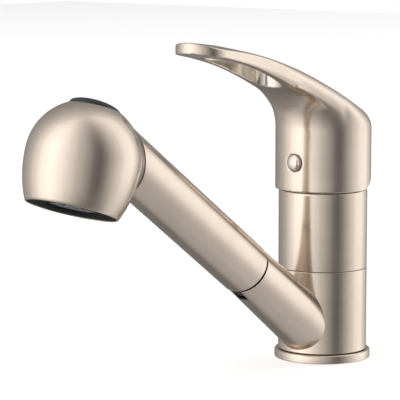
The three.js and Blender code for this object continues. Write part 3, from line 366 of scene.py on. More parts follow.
def side_slab(name, outline, half):
    """A side outline in the YZ plane, run across to half on each side, as a cutter."""
    count = len(outline)
    points = [(-half, y, z) for y, z in outline] + [(half, y, z) for y, z in outline]
    faces = [tuple(range(count)), tuple(range(count, 2 * count))[::-1]]
    faces += [(i, (i + 1) % count, count + (i + 1) % count, count + i) for i in range(count)]
    return link(name, mesh_from(name, points, faces))


def loft(name, rows):
    """A solid through rows of points. Each row is a closed loop with the same number of points."""
    around = len(rows[0])
    last = (len(rows) - 1) * around
    faces = []
    for n in range(len(rows) - 1):
        for k in range(around):
            j = (k + 1) % around
            faces.append((n * around + k, n * around + j, (n + 1) * around + j, (n + 1) * around + k))
    faces.append(tuple(range(around)))
    faces.append(tuple(last + k for k in range(around))[::-1])
    return link(name, mesh_from(name, [point for row in rows for point in row], faces))


def box(name, low, high, place=column_frame):
    outline = [(low[0], low[1]), (high[0], low[1]), (high[0], high[1]), (low[0], high[1])]
    return prism(name, outline, low[2], high[2], place)


def combine(obj, other, operation):
    mod = obj.modifiers.new("combine", "BOOLEAN")
    mod.operation = operation
    mod.solver = "MANIFOLD"
    mod.object = other
    apply_all(obj)
    old = other.data
    bpy.data.objects.remove(other)
    bpy.data.meshes.remove(old)


def apply_all(obj):
    depsgraph = bpy.context.evaluated_depsgraph_get()
    mesh = bpy.data.meshes.new_from_object(obj.evaluated_get(depsgraph))
    old = obj.data
    obj.modifiers.clear()
    obj.data = mesh
    bpy.data.meshes.remove(old)


def true_normals(obj, surfaces, tolerance=0.06, angle=32.0):
    """Corner normals taken from the exact surfaces that a cut mesh lies on."""
    mesh = obj.data
    smooth(mesh, angle)
    normals = [Vector(n.vector) for n in mesh.corner_normals]
    places = [v.co / MM for v in mesh.vertices]
    for face in mesh.polygons:
        for surface in surfaces:
            found = [surface(places[v]) for v in face.vertices]
            if any(abs(gap) > tolerance for gap, _ in found):
                continue
            if found[0][1].dot(face.normal) < 0.5:
                continue
            for corner, (_, normal) in zip(face.loop_indices, found):
                normals[corner] = normal
            break
    mesh.normals_split_custom_set(normals)


def dress(obj, body, material, slot, *nodes):
    obj.data.materials.clear()
    obj.data.materials.append(material)
    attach(obj, body)
    if nodes:
        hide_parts(*nodes)
    return obj


# Materials

STREAK_DEPTH = 0.04
GRAIN_DEPTH = 0.03


def node_material(name):
    material = bpy.data.materials.new(name)
    material.use_nodes = True
    tree = material.node_tree
    tree.nodes.clear()
    out = tree.nodes.new("ShaderNodeOutputMaterial")
    shader = tree.nodes.new("ShaderNodeBsdfPrincipled")
    tree.links.new(shader.outputs[0], out.inputs[0])
    return material, tree, shader


def mapped(tree, scale, turn=(0, 0, 0)):
    place = tree.nodes.new("ShaderNodeTexCoord")
    mapping = tree.nodes.new("ShaderNodeMapping")
    mapping.vector_type = "TEXTURE"
    mapping.inputs["Rotation"].default_value = turn
    stretch = tree.nodes.new("ShaderNodeVectorMath")
    stretch.operation = "MULTIPLY"
    stretch.inputs[1].default_value = scale
    tree.links.new(place.outputs["Object"], mapping.inputs["Vector"])
    tree.links.new(mapping.outputs[0], stretch.inputs[0])
    return stretch.outputs[0]


def noise(tree, vector, detail=3.0, rough=0.6):
    node = tree.nodes.new("ShaderNodeTexNoise")
    node.inputs["Scale"].default_value = 1.0
    node.inputs["Detail"].default_value = detail
    node.inputs["Roughness"].default_value = rough
    tree.links.new(vector, node.inputs["Vector"])
    return node.outputs["Fac"]


def spread(tree, value, low, high):
    node = tree.nodes.new("ShaderNodeMapRange")
    node.inputs["From Min"].default_value = 0.3
    node.inputs["From Max"].default_value = 0.7
    node.inputs["To Min"].default_value = low
    node.inputs["To Max"].default_value = high
    tree.links.new(value, node.inputs["Value"])
    return node.outputs[0]


def bumped(tree, shader, height, distance, strength):
    node = tree.nodes.new("ShaderNodeBump")
    node.inputs["Distance"].default_value = distance
    node.inputs["Strength"].default_value = strength
    tree.links.new(height, node.inputs["Height"])
    tree.links.new(node.outputs[0], shader.inputs["Normal"])


def tinted(tree, shader, value, dark, light):
    node = tree.nodes.new("ShaderNodeMix")
    node.data_type = "RGBA"
    node.inputs["A"].default_value = (*dark, 1)
    node.inputs["B"].default_value = (*light, 1)
    tree.links.new(value, node.inputs["Factor"])
    tree.links.new(node.outputs["Result"], shader.inputs["Base Color"])


def brushed(name, dark, light, roughness, grain_scale, turn=(0, 0, 0), bump=0.025):
    """Brushed metal: fine streaks whose direction and scale come from grain_scale, and soft clouds."""
    material, tree, shader = node_material(name)
    shader.inputs["Metallic"].default_value = 1.0
    streaks = noise(tree, mapped(tree, grain_scale, turn), 4.0, 0.7)
    clouds = noise(tree, mapped(tree, (60, 60, 60)), 2.0)
    tinted(tree, shader, spread(tree, clouds, 0, 1), dark, light)
    rough = tree.nodes.new("ShaderNodeMath")
    rough.operation = "ADD"
    tree.links.new(spread(tree, streaks, roughness - 0.015, roughness + 0.015), rough.inputs[0])
    tree.links.new(spread(tree, clouds, -0.012, 0.012), rough.inputs[1])
    tree.links.new(rough.outputs[0], shader.inputs["Roughness"])
    bumped(tree, shader, streaks, STREAK_DEPTH * MM, bump)
    return material


def moulded(name, dark, light, roughness, grain=2600, bump=0.25):
    """Moulded plastic or rubber with a fine spark-eroded grain."""
    material, tree, shader = node_material(name)
    fine = noise(tree, mapped(tree, (grain, grain, grain)), 2.0)
    clouds = noise(tree, mapped(tree, (90, 90, 90)), 2.0)
    tinted(tree, shader, spread(tree, clouds, 0, 1), dark, light)
    tree.links.new(spread(tree, fine, roughness - 0.05, roughness + 0.05), shader.inputs["Roughness"])
    bumped(tree, shader, fine, GRAIN_DEPTH * MM, bump)
    return material


NICKEL_DARK = (0.665, 0.565, 0.475)
NICKEL_LIGHT = (0.715, 0.612, 0.52)
SATIN = 0.2
# Scales of the grain: rings about the local Z axis, streaks along Y, and the same in each direction
ACROSS = (25, 25, 5200)
ALONG_Y = (3200, 40, 3200)
EVEN = (900, 900, 900)

TUBE_TURN = (radians(90 - TUBE_RISE), 0, 0)
BALL_TURN = (radians(-HEAD_TILT), 0, 0)

nickel_column = brushed("nickel_column", NICKEL_DARK, NICKEL_LIGHT, SATIN, ACROSS, bump=0.05)
nickel_tube = brushed("nickel_tube", NICKEL_DARK, NICKEL_LIGHT, SATIN, ACROSS, TUBE_TURN)
nickel_ball = brushed("nickel_ball", NICKEL_DARK, NICKEL_LIGHT, SATIN, ACROSS, BALL_TURN)
nickel_handle = brushed("nickel_handle", NICKEL_DARK, NICKEL_LIGHT, SATIN, ALONG_Y, bump=0.01)
# The loop walls' nickel is smoother, and its paler colour is painted light: a painted reflection for the
# walls' bright look.
nickel_loop_painted_light = brushed("nickel_loop_painted_light", (0.62, 0.565, 0.5), (0.68, 0.62, 0.555), 0.14, (40, 40, 3200), bump=0.01)
nickel_ring = brushed("nickel_ring", (0.3, 0.278, 0.25), (0.34, 0.315, 0.285), 0.42, ACROSS)
nickel_bright = brushed("nickel_bright", (0.62, 0.55, 0.48), (0.66, 0.59, 0.52), 0.1, EVEN, bump=0.01)
brass_plain = brushed("brass_machined", (0.55, 0.4, 0.19), (0.63, 0.47, 0.24), 0.3, ACROSS)
steel_plain = brushed("steel_machined", (0.5, 0.5, 0.51), (0.6, 0.6, 0.61), 0.28, ACROSS)
black_plain = moulded("plastic_black", (0.012, 0.012, 0.013), (0.02, 0.02, 0.021), 0.42)
black_face = moulded("plastic_face", (0.007, 0.007, 0.0075), (0.012, 0.012, 0.0125), 0.6)
black_face.node_tree.nodes["Principled BSDF"].inputs["Specular IOR Level"].default_value = 0.2
grey_plain = moulded("plastic_grey", (0.2, 0.205, 0.21), (0.26, 0.265, 0.27), 0.4)
white_plain = moulded("plastic_white", (0.66, 0.65, 0.61), (0.72, 0.71, 0.67), 0.42)
rubber_plain = moulded("rubber_black", (0.014, 0.014, 0.014), (0.024, 0.024, 0.024), 0.7, 1500, 0.4)
ceramic_plain = moulded("ceramic_white", (0.76, 0.75, 0.72), (0.82, 0.81, 0.78), 0.16, 4000, 0.05)

SLOT_LOOKS = {
    "nickel": nickel_column,
    "bright_nickel": nickel_bright,
    "brass": brass_plain,
    "steel": steel_plain,
    "black_plastic": black_plain,
    "grey_plastic": grey_plain,
    "white_plastic": white_plain,
    "rubber": rubber_plain,
    "ceramic": ceramic_plain,
}


def dress_cad_nodes():
    slots = {s["node"]: s["material_slot"] for s in frame["record"]["subparts"]}
    for name, obj in frame["nodes"].items():
        look = SLOT_LOOKS[slots[name]]
        if not obj.data.materials:
            obj.data.materials.append(look)
        for index in range(len(obj.material_slots)):
            obj.material_slots[index].material = look


# Column pieces

def make_base_ring():
    profile = [
        (BASE_BORE, 0),
        (GASKET_BORE, 0),
        (GASKET_BORE, GASKET_DEPTH),
        (BASE_R - GASKET_WALL, GASKET_DEPTH),
        (BASE_R - GASKET_WALL, 0),
        (BASE_R, 0),
        (BASE_R, BASE_H),
        (BASE_BORE, BASE_H),
    ]
    obj = lathe("base_ring_fine", rounded(profile, BASE_EDGES), steps=160)
    dress(obj, "base", nickel_column, "nickel", "base_ring")


def make_sleeve():
    profile = [
        (SLEEVE_BORE, SLEEVE_LOW),
        (BODY_R, SLEEVE_LOW),
        (BODY_R, SLEEVE_TOP - 4 * SLEEVE_EDGE),
        (BODY_R - SLEEVE_EDGE, SLEEVE_TOP - SLEEVE_EDGE),
        (BODY_R - 2 * SLEEVE_EDGE, SLEEVE_TOP),
        (LIP_BORE, SLEEVE_TOP),
        (LIP_BORE, SLEEVE_TOP - LIP_H),
        (SLEEVE_BORE, SLEEVE_TOP - LIP_H),
    ]
    radii = [0, *[SLEEVE_ROUND] * 4, 0, 0, 0]
    obj = lathe("upper_body_fine", rounded(profile, radii), steps=160)
    dress(obj, "base", nickel_column, "nickel", "upper_body")


def make_dome_cap():
    outer, inner = DOME_OUTER, DOME_OUTER - DOME_WALL
    low = SLEEVE_TOP - DOME_SINK
    steps = 14

    def arc(radius, a, b):
        start, end = math.asin(a / radius), math.asin(b / radius)
        for k in range(steps + 1):
            angle = start + (end - start) * k / steps
            yield radius * math.sin(angle), PIVOT_Z + radius * math.cos(angle)

    top = arc(DOME_R, outer, DOME_HOLE)
    underside = arc(DOME_R - DOME_WALL, DOME_HOLE, inner)
    obj = lathe("dome_cap_fine", [(inner, low), (outer, low), *top, *underside], steps=128)
    dress(obj, "base", nickel_column, "nickel", "dome_cap")


def column_surface(radius):
    """A round wall about the column's axis: how far a place lies off it, and the wall's direction there."""

    def surface(p):
        reach = math.hypot(p.x, p.y)
        return reach - radius, Vector((p.x, p.y, 0)).normalized()

    return surface


to_tube = tube_frame.inverted()


def cone_surface(p):
    """The stub's outside: how far a place lies off it, and its direction there."""
    q = to_tube @ p
    slope = (STUB_ROOT_R - STUB_END_R) / STUB_END
    radius = STUB_ROOT_R - slope * q.z
    reach = math.hypot(q.x, q.y)
    normal = Vector((q.x / max(reach, 1e-6), q.y / max(reach, 1e-6), slope)).normalized()
    return reach - radius, (tube_frame.to_3x3() @ normal).normalized()


def make_hub():
    profile = [
        (HUB_BORE, HUB_LOW + POCKET_H),
        (POCKET_R, HUB_LOW + POCKET_H),
        (POCKET_R, HUB_LOW),
        (BODY_R, HUB_LOW),
        (BODY_R, HUB_TOP),
        (POCKET_R, HUB_TOP),
        (POCKET_R, HUB_TOP - POCKET_H),
        (HUB_BORE, HUB_TOP - POCKET_H),
    ]
    obj = lathe("spout_hub_fine", rounded(profile, [0, 0, 0, HUB_EDGE, HUB_EDGE, 0, 0, 0]), steps=192)
    cone = [(0, 0), (STUB_ROOT_R, 0), (STUB_END_R, STUB_END), (0, STUB_END)]
    stub = lathe("stub", rounded(cone, [0, 0, STUB_EDGE, 0], closed=False), tube_frame, 144, False)
    below, beside, above = -30.0, 60.0, 46.0
    inside = [
        (0, below),
        (beside, below),
        (beside, HUB_LOW),
        (POCKET_R, HUB_LOW),
        (POCKET_R, HUB_LOW + POCKET_H),
        (HUB_BORE, HUB_LOW + POCKET_H),
        (HUB_BORE, above),
        (0, above),
    ]
    combine(stub, lathe("inside", inside, steps=96, closed=False), "DIFFERENCE")
    combine(obj, stub, "UNION")
    end = STUB_END + OVERRUN
    for name, radius, start in (("bore", STUB_BORE, 0), ("socket", SOCKET_BORE, SOCKET_START)):
        drill = [(0, start), (radius, start), (radius, end), (0, end)]
        combine(obj, lathe(name, drill, tube_frame, 96, False), "DIFFERENCE")
    notch = box(
        "notch",
        (-NOTCH_W / 2, -STUB_ROOT_R, STUB_END - NOTCH_L),
        (NOTCH_W / 2, -STUB_BORE, end),
        tube_frame,
    )
    combine(obj, notch, "DIFFERENCE")
    true_normals(obj, [column_surface(BODY_R), cone_surface])
    dress(obj, "spout", nickel_column, "nickel", "spout_hub")


# Wand pieces

def mitred_tube(name, rings, steps=144):
    """A tube along the slanted axis. Each ring is a radius and a function giving its place along the axis."""
    points, faces = [], []
    for radius, along in rings:
        for k in range(steps):
            angle = 2 * math.pi * k / steps
            x, y = radius * math.cos(angle), radius * math.sin(angle)
            points.append(tube_frame @ Vector((x, y, along(y))))
    count = len(rings)
    for i in range(count):
        j = (i + 1) % count
        for k in range(steps):
            n = (k + 1) % steps
            faces.append((i * steps + k, i * steps + n, j * steps + n, j * steps + k))
    mesh = mesh_from(name, points, faces)
    smooth(mesh)
    return link(name, mesh)


def at(distance):
    return lambda y: distance


def at_plane(distance, inset=0.0):
    """Places on the plane that lies at a distance along -Y."""
    rise, run = math.sin(radians(TUBE_RISE)), math.cos(radians(TUBE_RISE))
    return lambda y: (distance + rise * y) / run - inset


def make_wand_tube():
    end = COLLAR_Y - WAND_SEAM
    small = WAND_EDGE_SHARE * WAND_EDGE
    start = [
        (WAND_BORE, at(end - WAND_STRAIGHT)),
        (WAND_BORE, at(WAND_START + WAND_EDGE)),
        (WAND_BORE + WAND_EDGE, at(WAND_START)),
        (WAND_R - WAND_EDGE, at(WAND_START)),
        (WAND_R - small, at(WAND_START + small)),
        (WAND_R, at(WAND_START + WAND_EDGE)),
        (WAND_R, at(WAND_START + 2 * WAND_EDGE)),
    ]
    finish = [(WAND_R - cut, at_plane(end, inset)) for cut, inset in WAND_LIP]
    obj = mitred_tube("wand_tube_fine", [*start, *finish, (WAND_BORE, at_plane(end))])
    dress(obj, "wand", nickel_tube, "nickel", "wand_tube")


def make_collar():
    """Two stepped rings between the wand and the ball."""
    begin = COLLAR_Y + RING_GAP
    end = COLLAR_Y + COLLAR_END
    first_end = COLLAR_Y + RING_PITCH - RING_GAP
    second_begin = COLLAR_Y + RING_PITCH + RING_GAP
    floor = WAND_R - RING_DEPTH
    rings = [(WAND_BORE, at_plane(begin))]
    for low, high in ((begin, first_end), (second_begin, end)):
        rings += [
            (WAND_R - RING_STEP - RING_CUT, at_plane(low)),
            (WAND_R - RING_STEP, at_plane(low + RING_EDGE)),
            (WAND_R - RING_CUT, at_plane(low + RISE_START)),
            (WAND_R, at_plane(low + RISE_START + RISE_LENGTH)),
            (WAND_R, at_plane(high - RING_EDGE)),
            (WAND_R - 2 * RING_CUT, at_plane(high)),
        ]
        if high < end:
            rings += [(floor, at_plane(high)), (floor, at_plane(second_begin))]
    rings.append((WAND_BORE, at_plane(end)))
    obj = mitred_tube("neck_collar_fine", rings)
    dress(obj, "wand", nickel_ring, "nickel", "neck_collar")


# Ball head

def ball_radius(height, wall=0.0):
    semi = (BALL_UP if height > 0 else BALL_LOW) - wall
    return (BALL_R - wall) * math.sqrt(max(0.0, 1 - (height / semi) ** 2))


def ball_arc(start, end, wall=0.0, steps=24):
    semi = (BALL_UP if max(start, end) > 0 else BALL_LOW) - wall
    a, b = math.asin(max(-1, start / semi)), math.asin(min(1, end / semi))
    for k in range(steps + 1):
        height = semi * math.sin(a + (b - a) * k / steps)
        yield ball_radius(height, wall), height


to_head = head_frame.inverted()


def ball_surface(p):
    """The ball's outside between its two rims: how far a place lies off it, and its direction there."""
    q = to_head @ p
    semi = BALL_UP if q.z > 0 else BALL_LOW
    if not -FACE_H + RIM_CLEAR < q.z < CAP_SEAT - SEAT_CLEAR:
        return BALL_R, Vector((0, 0, 1))
    reach = math.hypot(q.x, q.y)
    normal = Vector((q.x / BALL_R**2, q.y / BALL_R**2, q.z / semi**2)).normalized()
    return reach - ball_radius(q.z), (head_frame.to_3x3() @ normal).normalized()


def make_ball():
    cap = ball_radius(CAP_SEAT)
    rim = ball_radius(-FACE_H) - RIM_WALL
    inner_top = (BALL_UP - BALL_WALL) * math.sqrt(1 - (cap / (BALL_R - BALL_WALL)) ** 2)
    profile = [
        *[(rim + out, -FACE_H + up) for out, up in RIM_LIP],
        *ball_arc(-FACE_H + RIM_ROUND, 0),
        *list(ball_arc(0, CAP_SEAT - SEAT_ROUND))[1:],
        *[(cap - into, CAP_SEAT + up) for into, up in SEAT_LIP],
        (cap - SEAT_WALL, inner_top),
        *ball_arc(inner_top, 0, BALL_WALL, 10),
        *list(ball_arc(0, -BENCH_H, BALL_WALL, 10))[1:],
        (rim, -BENCH_H),
    ]
    obj = lathe("head_shell_fine", profile, head_frame, steps=192)
    steps = 96
    radius = WAND_R + HOLE_GAP
    stretch = 1 / math.cos(radians(TUBE_RISE))
    angles = [2 * math.pi * k / steps for k in range(steps)]
    outline = [(radius * math.cos(a), radius * math.sin(a) * stretch) for a in angles]
    hole = prism("hole", outline, -OVERRUN, COLLAR_END + OVERRUN, collar_frame)
    combine(obj, hole, "DIFFERENCE")
    true_normals(obj, [ball_surface])
    dress(obj, "wand", nickel_ball, "nickel", "head_shell")


def make_toggle():
    radius = ball_radius(CAP_SEAT) - TOGGLE_GAP
    edge_top = CAP_SEAT - TOGGLE_Z + TOGGLE_RISE
    low = edge_top - TOGGLE_EDGE
    top = edge_top + TOGGLE_DOME
    steps = 14
    profile = [
        (0, low),
        (radius - TOGGLE_ROUND, low),
        (radius, low + TOGGLE_ROUND),
        (radius, edge_top - TOGGLE_RISE),
    ]
    for k in range(steps):
        angle = math.pi / 2 * k / steps
        reach = (radius - TOGGLE_INSET) * math.cos(angle)
        profile.append((reach, edge_top + TOGGLE_DOME * math.sin(angle)))
    profile.append((0, top))
    obj = lathe("spray_toggle_fine", profile, toggle_frame, 128, False)
    groove_low = (-radius, -GROOVE_HALF, top - GROOVE_DEPTH)
    groove = box("groove", groove_low, (radius, GROOVE_HALF, top + OVERRUN), toggle_frame)
    combine(obj, groove, "DIFFERENCE")
    x, y = WEB_HALF
    web = box("web", (-x, -y, 0), (x, y, low + WEB_SINK), toggle_frame)
    combine(obj, web, "UNION")
    smooth(obj.data)
    dress(obj, "rocker", black_plain, "black_plastic", "spray_toggle")


def make_face():
    rim = ball_radius(-FACE_H) - RIM_WALL - FACE_GAP
    front = -FACE_H + FACE_INSET
    bore = FACE_STEPS[0][0]
    profile = [
        *[(radius, front + depth) for radius, depth in FACE_STEPS],
        (rim, front),
        (rim, -SKIRT_H),
        (rim - SKIRT_WALL, -SKIRT_H),
        (rim - SKIRT_WALL, front + FACE_THICK),
        (bore, front + FACE_THICK),
    ]
    obj = lathe("spray_face_fine", rounded(profile, FACE_ROUND, 3), head_frame, 128)
    dress(obj, "wand", black_face, "black_plastic", "spray_face")


# Handle. The crown's shares are of the way from the rear to the tip, and of the rise between them.

CROWN_SHARES = [
    (0, 0), (0.119, 0.175), (0.246, 0.386), (0.387, 0.585), (0.528, 0.737), (0.669, 0.857), (0.796, 0.932),
    (0.908, 0.978), (1, 1),
]
# Shares of the lever's reach, and of the growth from thin to thick
THICK_SHARES = [
    (0.05, 0.3), (0.137, 0.5), (0.2, 0.82), (0.26, 0.88), (0.342, 0.8), (0.444, 0.65), (0.547, 0.49),
    (0.65, 0.345), (0.752, 0.24), (0.855, 0.15), (1, 0.04),
]
# Shares of the lever's reach, and of the widening from the lever to the round body
ROOT_SHARES = [
    (0.094, 1), (0.117, 0.92), (0.139, 0.83), (0.162, 0.73), (0.188, 0.62), (0.211, 0.53), (0.239, 0.42),
    (0.291, 0.26), (0.342, 0.169), (0.444, 0.097), (0.547, 0.024), (0.65, 0),
]
# Rounding of the upper edge, and of the underside's edge, at distances from the column's axis
EDGE_ROUND = [
    (-25, 5), (-12, 6), (0, 6.9), (12, 7.3), (22, 6.9), (32, 5.6), (45, 3.2), (60, 1.4), (80, 0.6),
    (118, 0.4),
]
UNDER_ROUND = [(30, 5), (44, 4.2), (55, 3.0), (70, 1.8), (83, 1.1), (97, 1.0), (112, 1.5)]
# Shares of the trumpet's rise, and of its reach
FLARE_SHARES = [
    (0, 0), (0.15, 0.01), (0.3, 0.06), (0.42, 0.14), (0.52, 0.27), (0.6, 0.42), (0.68, 0.62), (0.78, 1),
]
# Shares of the loop hole's length from its back, and of its half width
LOOP_SHARES = [
    (0.003, 0.2), (0.012, 0.39), (0.03, 0.57), (0.06, 0.71), (0.11, 0.81), (0.18, 0.885), (0.27, 0.94),
    (0.38, 0.985), (0.52, 1), (0.66, 0.98), (0.78, 0.9), (0.88, 0.74), (0.95, 0.5), (0.985, 0.27),
]
# Shares of the lever's half width, closer together towards its edges
ACROSS_SHARES = [math.sin(math.pi / 2 * (k / 14 - 1)) for k in range(29)]
ROOT_Y = -ROOT_SHARES[0][0] * LEVER_REACH


def between(table, place):
    """A table's value at a place, along a smooth curve through its rows."""
    place = min(max(place, table[0][0]), table[-1][0])
    high = max(1, next(i for i, row in enumerate(table) if row[0] >= place))
    low = high - 1

    def slope(row):
        a, b = max(row - 1, 0), min(row + 1, len(table) - 1)
        return (table[b][1] - table[a][1]) / (table[b][0] - table[a][0])

    span = table[high][0] - table[low][0]
    t = (place - table[low][0]) / span
    return (
        table[low][1] * (2 * t**3 - 3 * t**2 + 1)
        + slope(low) * span * (t**3 - 2 * t**2 + t)
        + table[high][1] * (3 * t**2 - 2 * t**3)
        + slope(high) * span * (t**3 - t**2)
    )


def crown_height(y):
    way = (HANDLE_R - y) / (HANDLE_R + LEVER_REACH)
    return CROWN_REAR + between(CROWN_SHARES, way) * (CROWN_TIP - CROWN_REAR)


def under_height(y):
    growth = between(THICK_SHARES, -y / LEVER_REACH)
    return crown_height(y) - LEVER_THIN - growth * (LEVER_THICK - LEVER_THIN)


def plan_half(y):
    """Half the handle's width, seen from above: round body, waisted root and round tip."""
    if y > ROOT_Y:
        return math.sqrt(max(0, BLANK_R**2 - y**2))
    if -y > TIP_CENTRE:
        return math.sqrt(max(0, LEVER_HALF**2 - (y + TIP_CENTRE) ** 2))
    root = math.sqrt(BLANK_R**2 - ROOT_Y**2)
    return LEVER_HALF + between(ROOT_SHARES, -y / LEVER_REACH) * (root - LEVER_HALF)


def top_height(x, y):
    half = plan_half(y)
    inset = BLANK_R - math.hypot(x, y) if y > ROOT_Y else half - abs(x)
    r = between(EDGE_ROUND, -y)
    into = min(max(inset, 0), r)
    drop = r - math.sqrt(max(0, r**2 - (r - into) ** 2))
    return crown_height(y) - (CROWN_R - math.sqrt(CROWN_R**2 - x**2)) - drop


def make_blank():
    """The handle's full outline from above, up to its crown. The handle is trimmed to it."""
    turns, tip_steps, station = 48, 16, 1.5
    first_turn, root_gap, tip_gap = 0.2, 0.3, 0.02
    places = [BLANK_R * math.cos(math.pi * max(n, first_turn) / turns) for n in range(turns + 1)]
    places = [y for y in places if y > ROOT_Y + root_gap]
    y = ROOT_Y
    while y > -TIP_CENTRE:
        places.append(y)
        y -= station
    tip = LEVER_HALF - tip_gap
    places += [-TIP_CENTRE - tip * math.sin(math.pi / 2 * k / tip_steps) for k in range(tip_steps + 1)]
    rows = []
    for y in places:
        half = plan_half(y)
        crown = [(share * half, y, top_height(share * half, y)) for share in ACROSS_SHARES]
        rows.append([(-half, y, HANDLE_LOW), *crown, (half, y, HANDLE_LOW)])
    return loft("blank", rows)


def make_lever():
    """The lever above its underside, whose long edges are rounded. It is trimmed to its outline later."""
    count = 64
    rows = []
    for n in range(count + 1):
        y = -(TIP_CENTRE + LEVER_HALF + OVERRUN) * n / count
        half = max(plan_half(max(y, -TIP_CENTRE)), LEVER_HALF)
        rise = between(UNDER_ROUND, -y)
        r = min(rise, UNDER_WIDTH)
        low = under_height(y)
        wide = half + OVERRUN / 2
        row = [(-wide, y, CROWN_ABOVE), (-wide, y, low + rise)]
        for share in ACROSS_SHARES:
            into = min(max(half * (1 - abs(share)), 0), r)
            row.append((share * half, y, low + rise * (1 - math.sqrt(max(0, 1 - (1 - into / r) ** 2)))))
        rows.append([*row, (wide, y, low + rise), (wide, y, CROWN_ABOVE)])
    return loft("handle_fine", rows)


def make_flare():
    """The trumpet under the lever. It is full at the front and fades out towards the sides."""
    rings, steps = 25, 128
    points = [(0, 0, FLARE_LOW)]
    for k in range(rings):
        up = FLARE_TOP * k / (rings - 1)
        for n in range(steps):
            angle = 2 * math.pi * n / steps
            aside = math.degrees(min(angle, 2 * math.pi - angle))
            share = 1 - (1 - FLARE_SIDE) * eased((aside - FLARE_FULL) / FLARE_FADE)
            radius = HANDLE_R - FLARE_INSET + between(FLARE_SHARES, up) * FLARE_REACH * share
            height = FLARE_LOW + up * FLARE_RISE
            points.append((radius * math.sin(angle), -radius * math.cos(angle), height))
    points.append((0, 0, FLARE_LOW + FLARE_TOP * FLARE_RISE))
    last = len(points) - 1
    faces = []
    for n in range(steps):
        j = (n + 1) % steps
        faces.append((0, 1 + j, 1 + n))
        for k in range(rings - 1):
            a, b = 1 + k * steps, 1 + (k + 1) * steps
            faces.append((a + n, a + j, b + j, b + n))
        a = 1 + (rings - 1) * steps
        faces.append((last, a + n, a + j))
    return link("flare", mesh_from("flare", points, faces))


def soften_root(obj):
    """Relaxes the mesh more where the lever grows out of the round body."""
    group = obj.vertex_groups.new(name="root")
    for vertex in obj.data.vertices:
        p = vertex.co / MM
        share = eased((p.y - SOFT_Y) / SOFT_Y_RUN) * eased((p.z - SOFT_Z) / SOFT_Z_RUN)
        if share > 0:
            group.add([vertex.index], share, "REPLACE")
    mod = obj.modifiers.new("blend", "SMOOTH")
    mod.factor = 0.5
    mod.iterations = 50
    mod.vertex_group = "root"
    apply_all(obj)
    obj.vertex_groups.clear()


def eased(t):
    """From 0 to 1, slowly at both ends."""
    t = min(max(t, 0), 1)
    return t * t * (3 - 2 * t)


def make_cavity():
    """The hollow in the handle's round body, with a wider mouth."""
    low = HANDLE_LOW - OVERRUN
    mouth_top = HANDLE_LOW + MOUTH_H
    profile = [
        (0, low),
        (MOUTH_R, low),
        (MOUTH_R, mouth_top),
        (CAVITY_R, mouth_top + MOUTH_R - CAVITY_R),
        (CAVITY_R, CAVITY_SIDE),
        (CAVITY_TOP_R, CAVITY_TOP),
        (0, CAVITY_TOP),
    ]
    return lathe("cavity", profile, steps=96, closed=False)


def make_relief():
    """The wedge cut from the handle's rear lower edge, so that it can lift."""
    back = HANDLE_R + OVERRUN
    outline = [
        (RELIEF_START, HANDLE_LOW),
        (RELIEF_START, HANDLE_LOW - OVERRUN),
        (back, HANDLE_LOW - OVERRUN),
        (back, HANDLE_LOW + (back - RELIEF_START) * math.tan(radians(LIFT))),
    ]
    return side_slab("relief", outline, back)


def make_button_hole():
    start, end = BUTTON_HOLE_START, BUTTON_HOLE_END
    profile = [(0, start), (BUTTON_HOLE_R, start), (BUTTON_HOLE_R, end), (0, end)]
    return lathe("button_hole", profile, front_frame, 64, False)


def make_loop():
    """The long hole through the lever, round at both ends."""
    steps = 60
    first, last = LOOP_SHARES[0][0], LOOP_SHARES[-1][0]
    along = [first + (last - first) * (1 - math.cos(math.pi * k / steps)) / 2 for k in range(steps + 1)]
    near = [(between(LOOP_SHARES, t) * LOOP_HALF, -LOOP_BACK - t * (LOOP_FRONT - LOOP_BACK)) for t in along]
    far = [(-x, y) for x, y in reversed(near)]
    return prism("loop", [(0, -LOOP_BACK), *near, (0, -LOOP_FRONT), *far], LOOP_LOW, LOOP_TOP)


def make_handle():
    obj = make_lever()
    body = [(0, HANDLE_LOW), (HANDLE_R, HANDLE_LOW), (HANDLE_R, CROWN_ABOVE), (0, CROWN_ABOVE)]
    combine(obj, lathe("column", body, steps=192, closed=False), "UNION")
    combine(obj, make_flare(), "UNION")
    combine(obj, make_blank(), "INTERSECT")
    for cutter in (make_cavity(), make_relief(), make_button_hole(), make_loop()):
        combine(obj, cutter, "DIFFERENCE")
    mod = obj.modifiers.new("remesh", "REMESH")
    mod.mode = "VOXEL"
    mod.voxel_size = VOXEL * MM
    relax = obj.modifiers.new("relax", "SMOOTH")
    relax.factor = 0.5
    relax.iterations = 5
    apply_all(obj)
    soften_root(obj)
    obj.data.shade_smooth()
    dress(obj, "lever", nickel_handle, "nickel", "handle")
    line_loop(obj)


def line_loop(obj):
    """Gives the loop hole's walls their own smoother nickel, paler than the outside. The paler colour is
    painted light, a painted reflection for the walls' bright look.
    """
    obj.data.materials.append(nickel_loop_painted_light)
    for face in obj.data.polygons:
        place = face.center / MM
        along = LOOP_BACK - LOOP_MARGIN < -place.y < LOOP_FRONT + LOOP_MARGIN
        beside = abs(place.x) < LOOP_HALF + LOOP_SIDE_MARGIN
        inward = face.normal.x * place.x + face.normal.y * (place.y + LOOP_MIDDLE) < 0
        if along and beside and inward and abs(face.normal.z) < LOOP_STEEPNESS:
            face.material_index = 1


def make_button():
    steps = 14
    profile = [(0, BUTTON_START), (BUTTON_R, BUTTON_START), (BUTTON_R, BUTTON_RIM)]
    for k in range(steps):
        angle = math.pi / 2 * k / steps
        reach = BUTTON_R * math.cos(angle) ** BUTTON_FULLNESS
        profile.append((reach, BUTTON_CROWN + BUTTON_RISE * math.sin(angle)))
    profile.append((0, BUTTON_CROWN + BUTTON_RISE))
    obj = lathe("index_button_fine", profile, front_frame, 64, False)
    dress(obj, "lever", nickel_bright, "bright_nickel", "index_button")


# Studio

def make_world():
    """A white background at strength 1."""
    world = bpy.data.worlds.new("studio")
    scene.world = world
    world.use_nodes = True
    back = world.node_tree.nodes["Background"]
    back.inputs["Color"].default_value = (1, 1, 1, 1)
    back.inputs["Strength"].default_value = 1.0


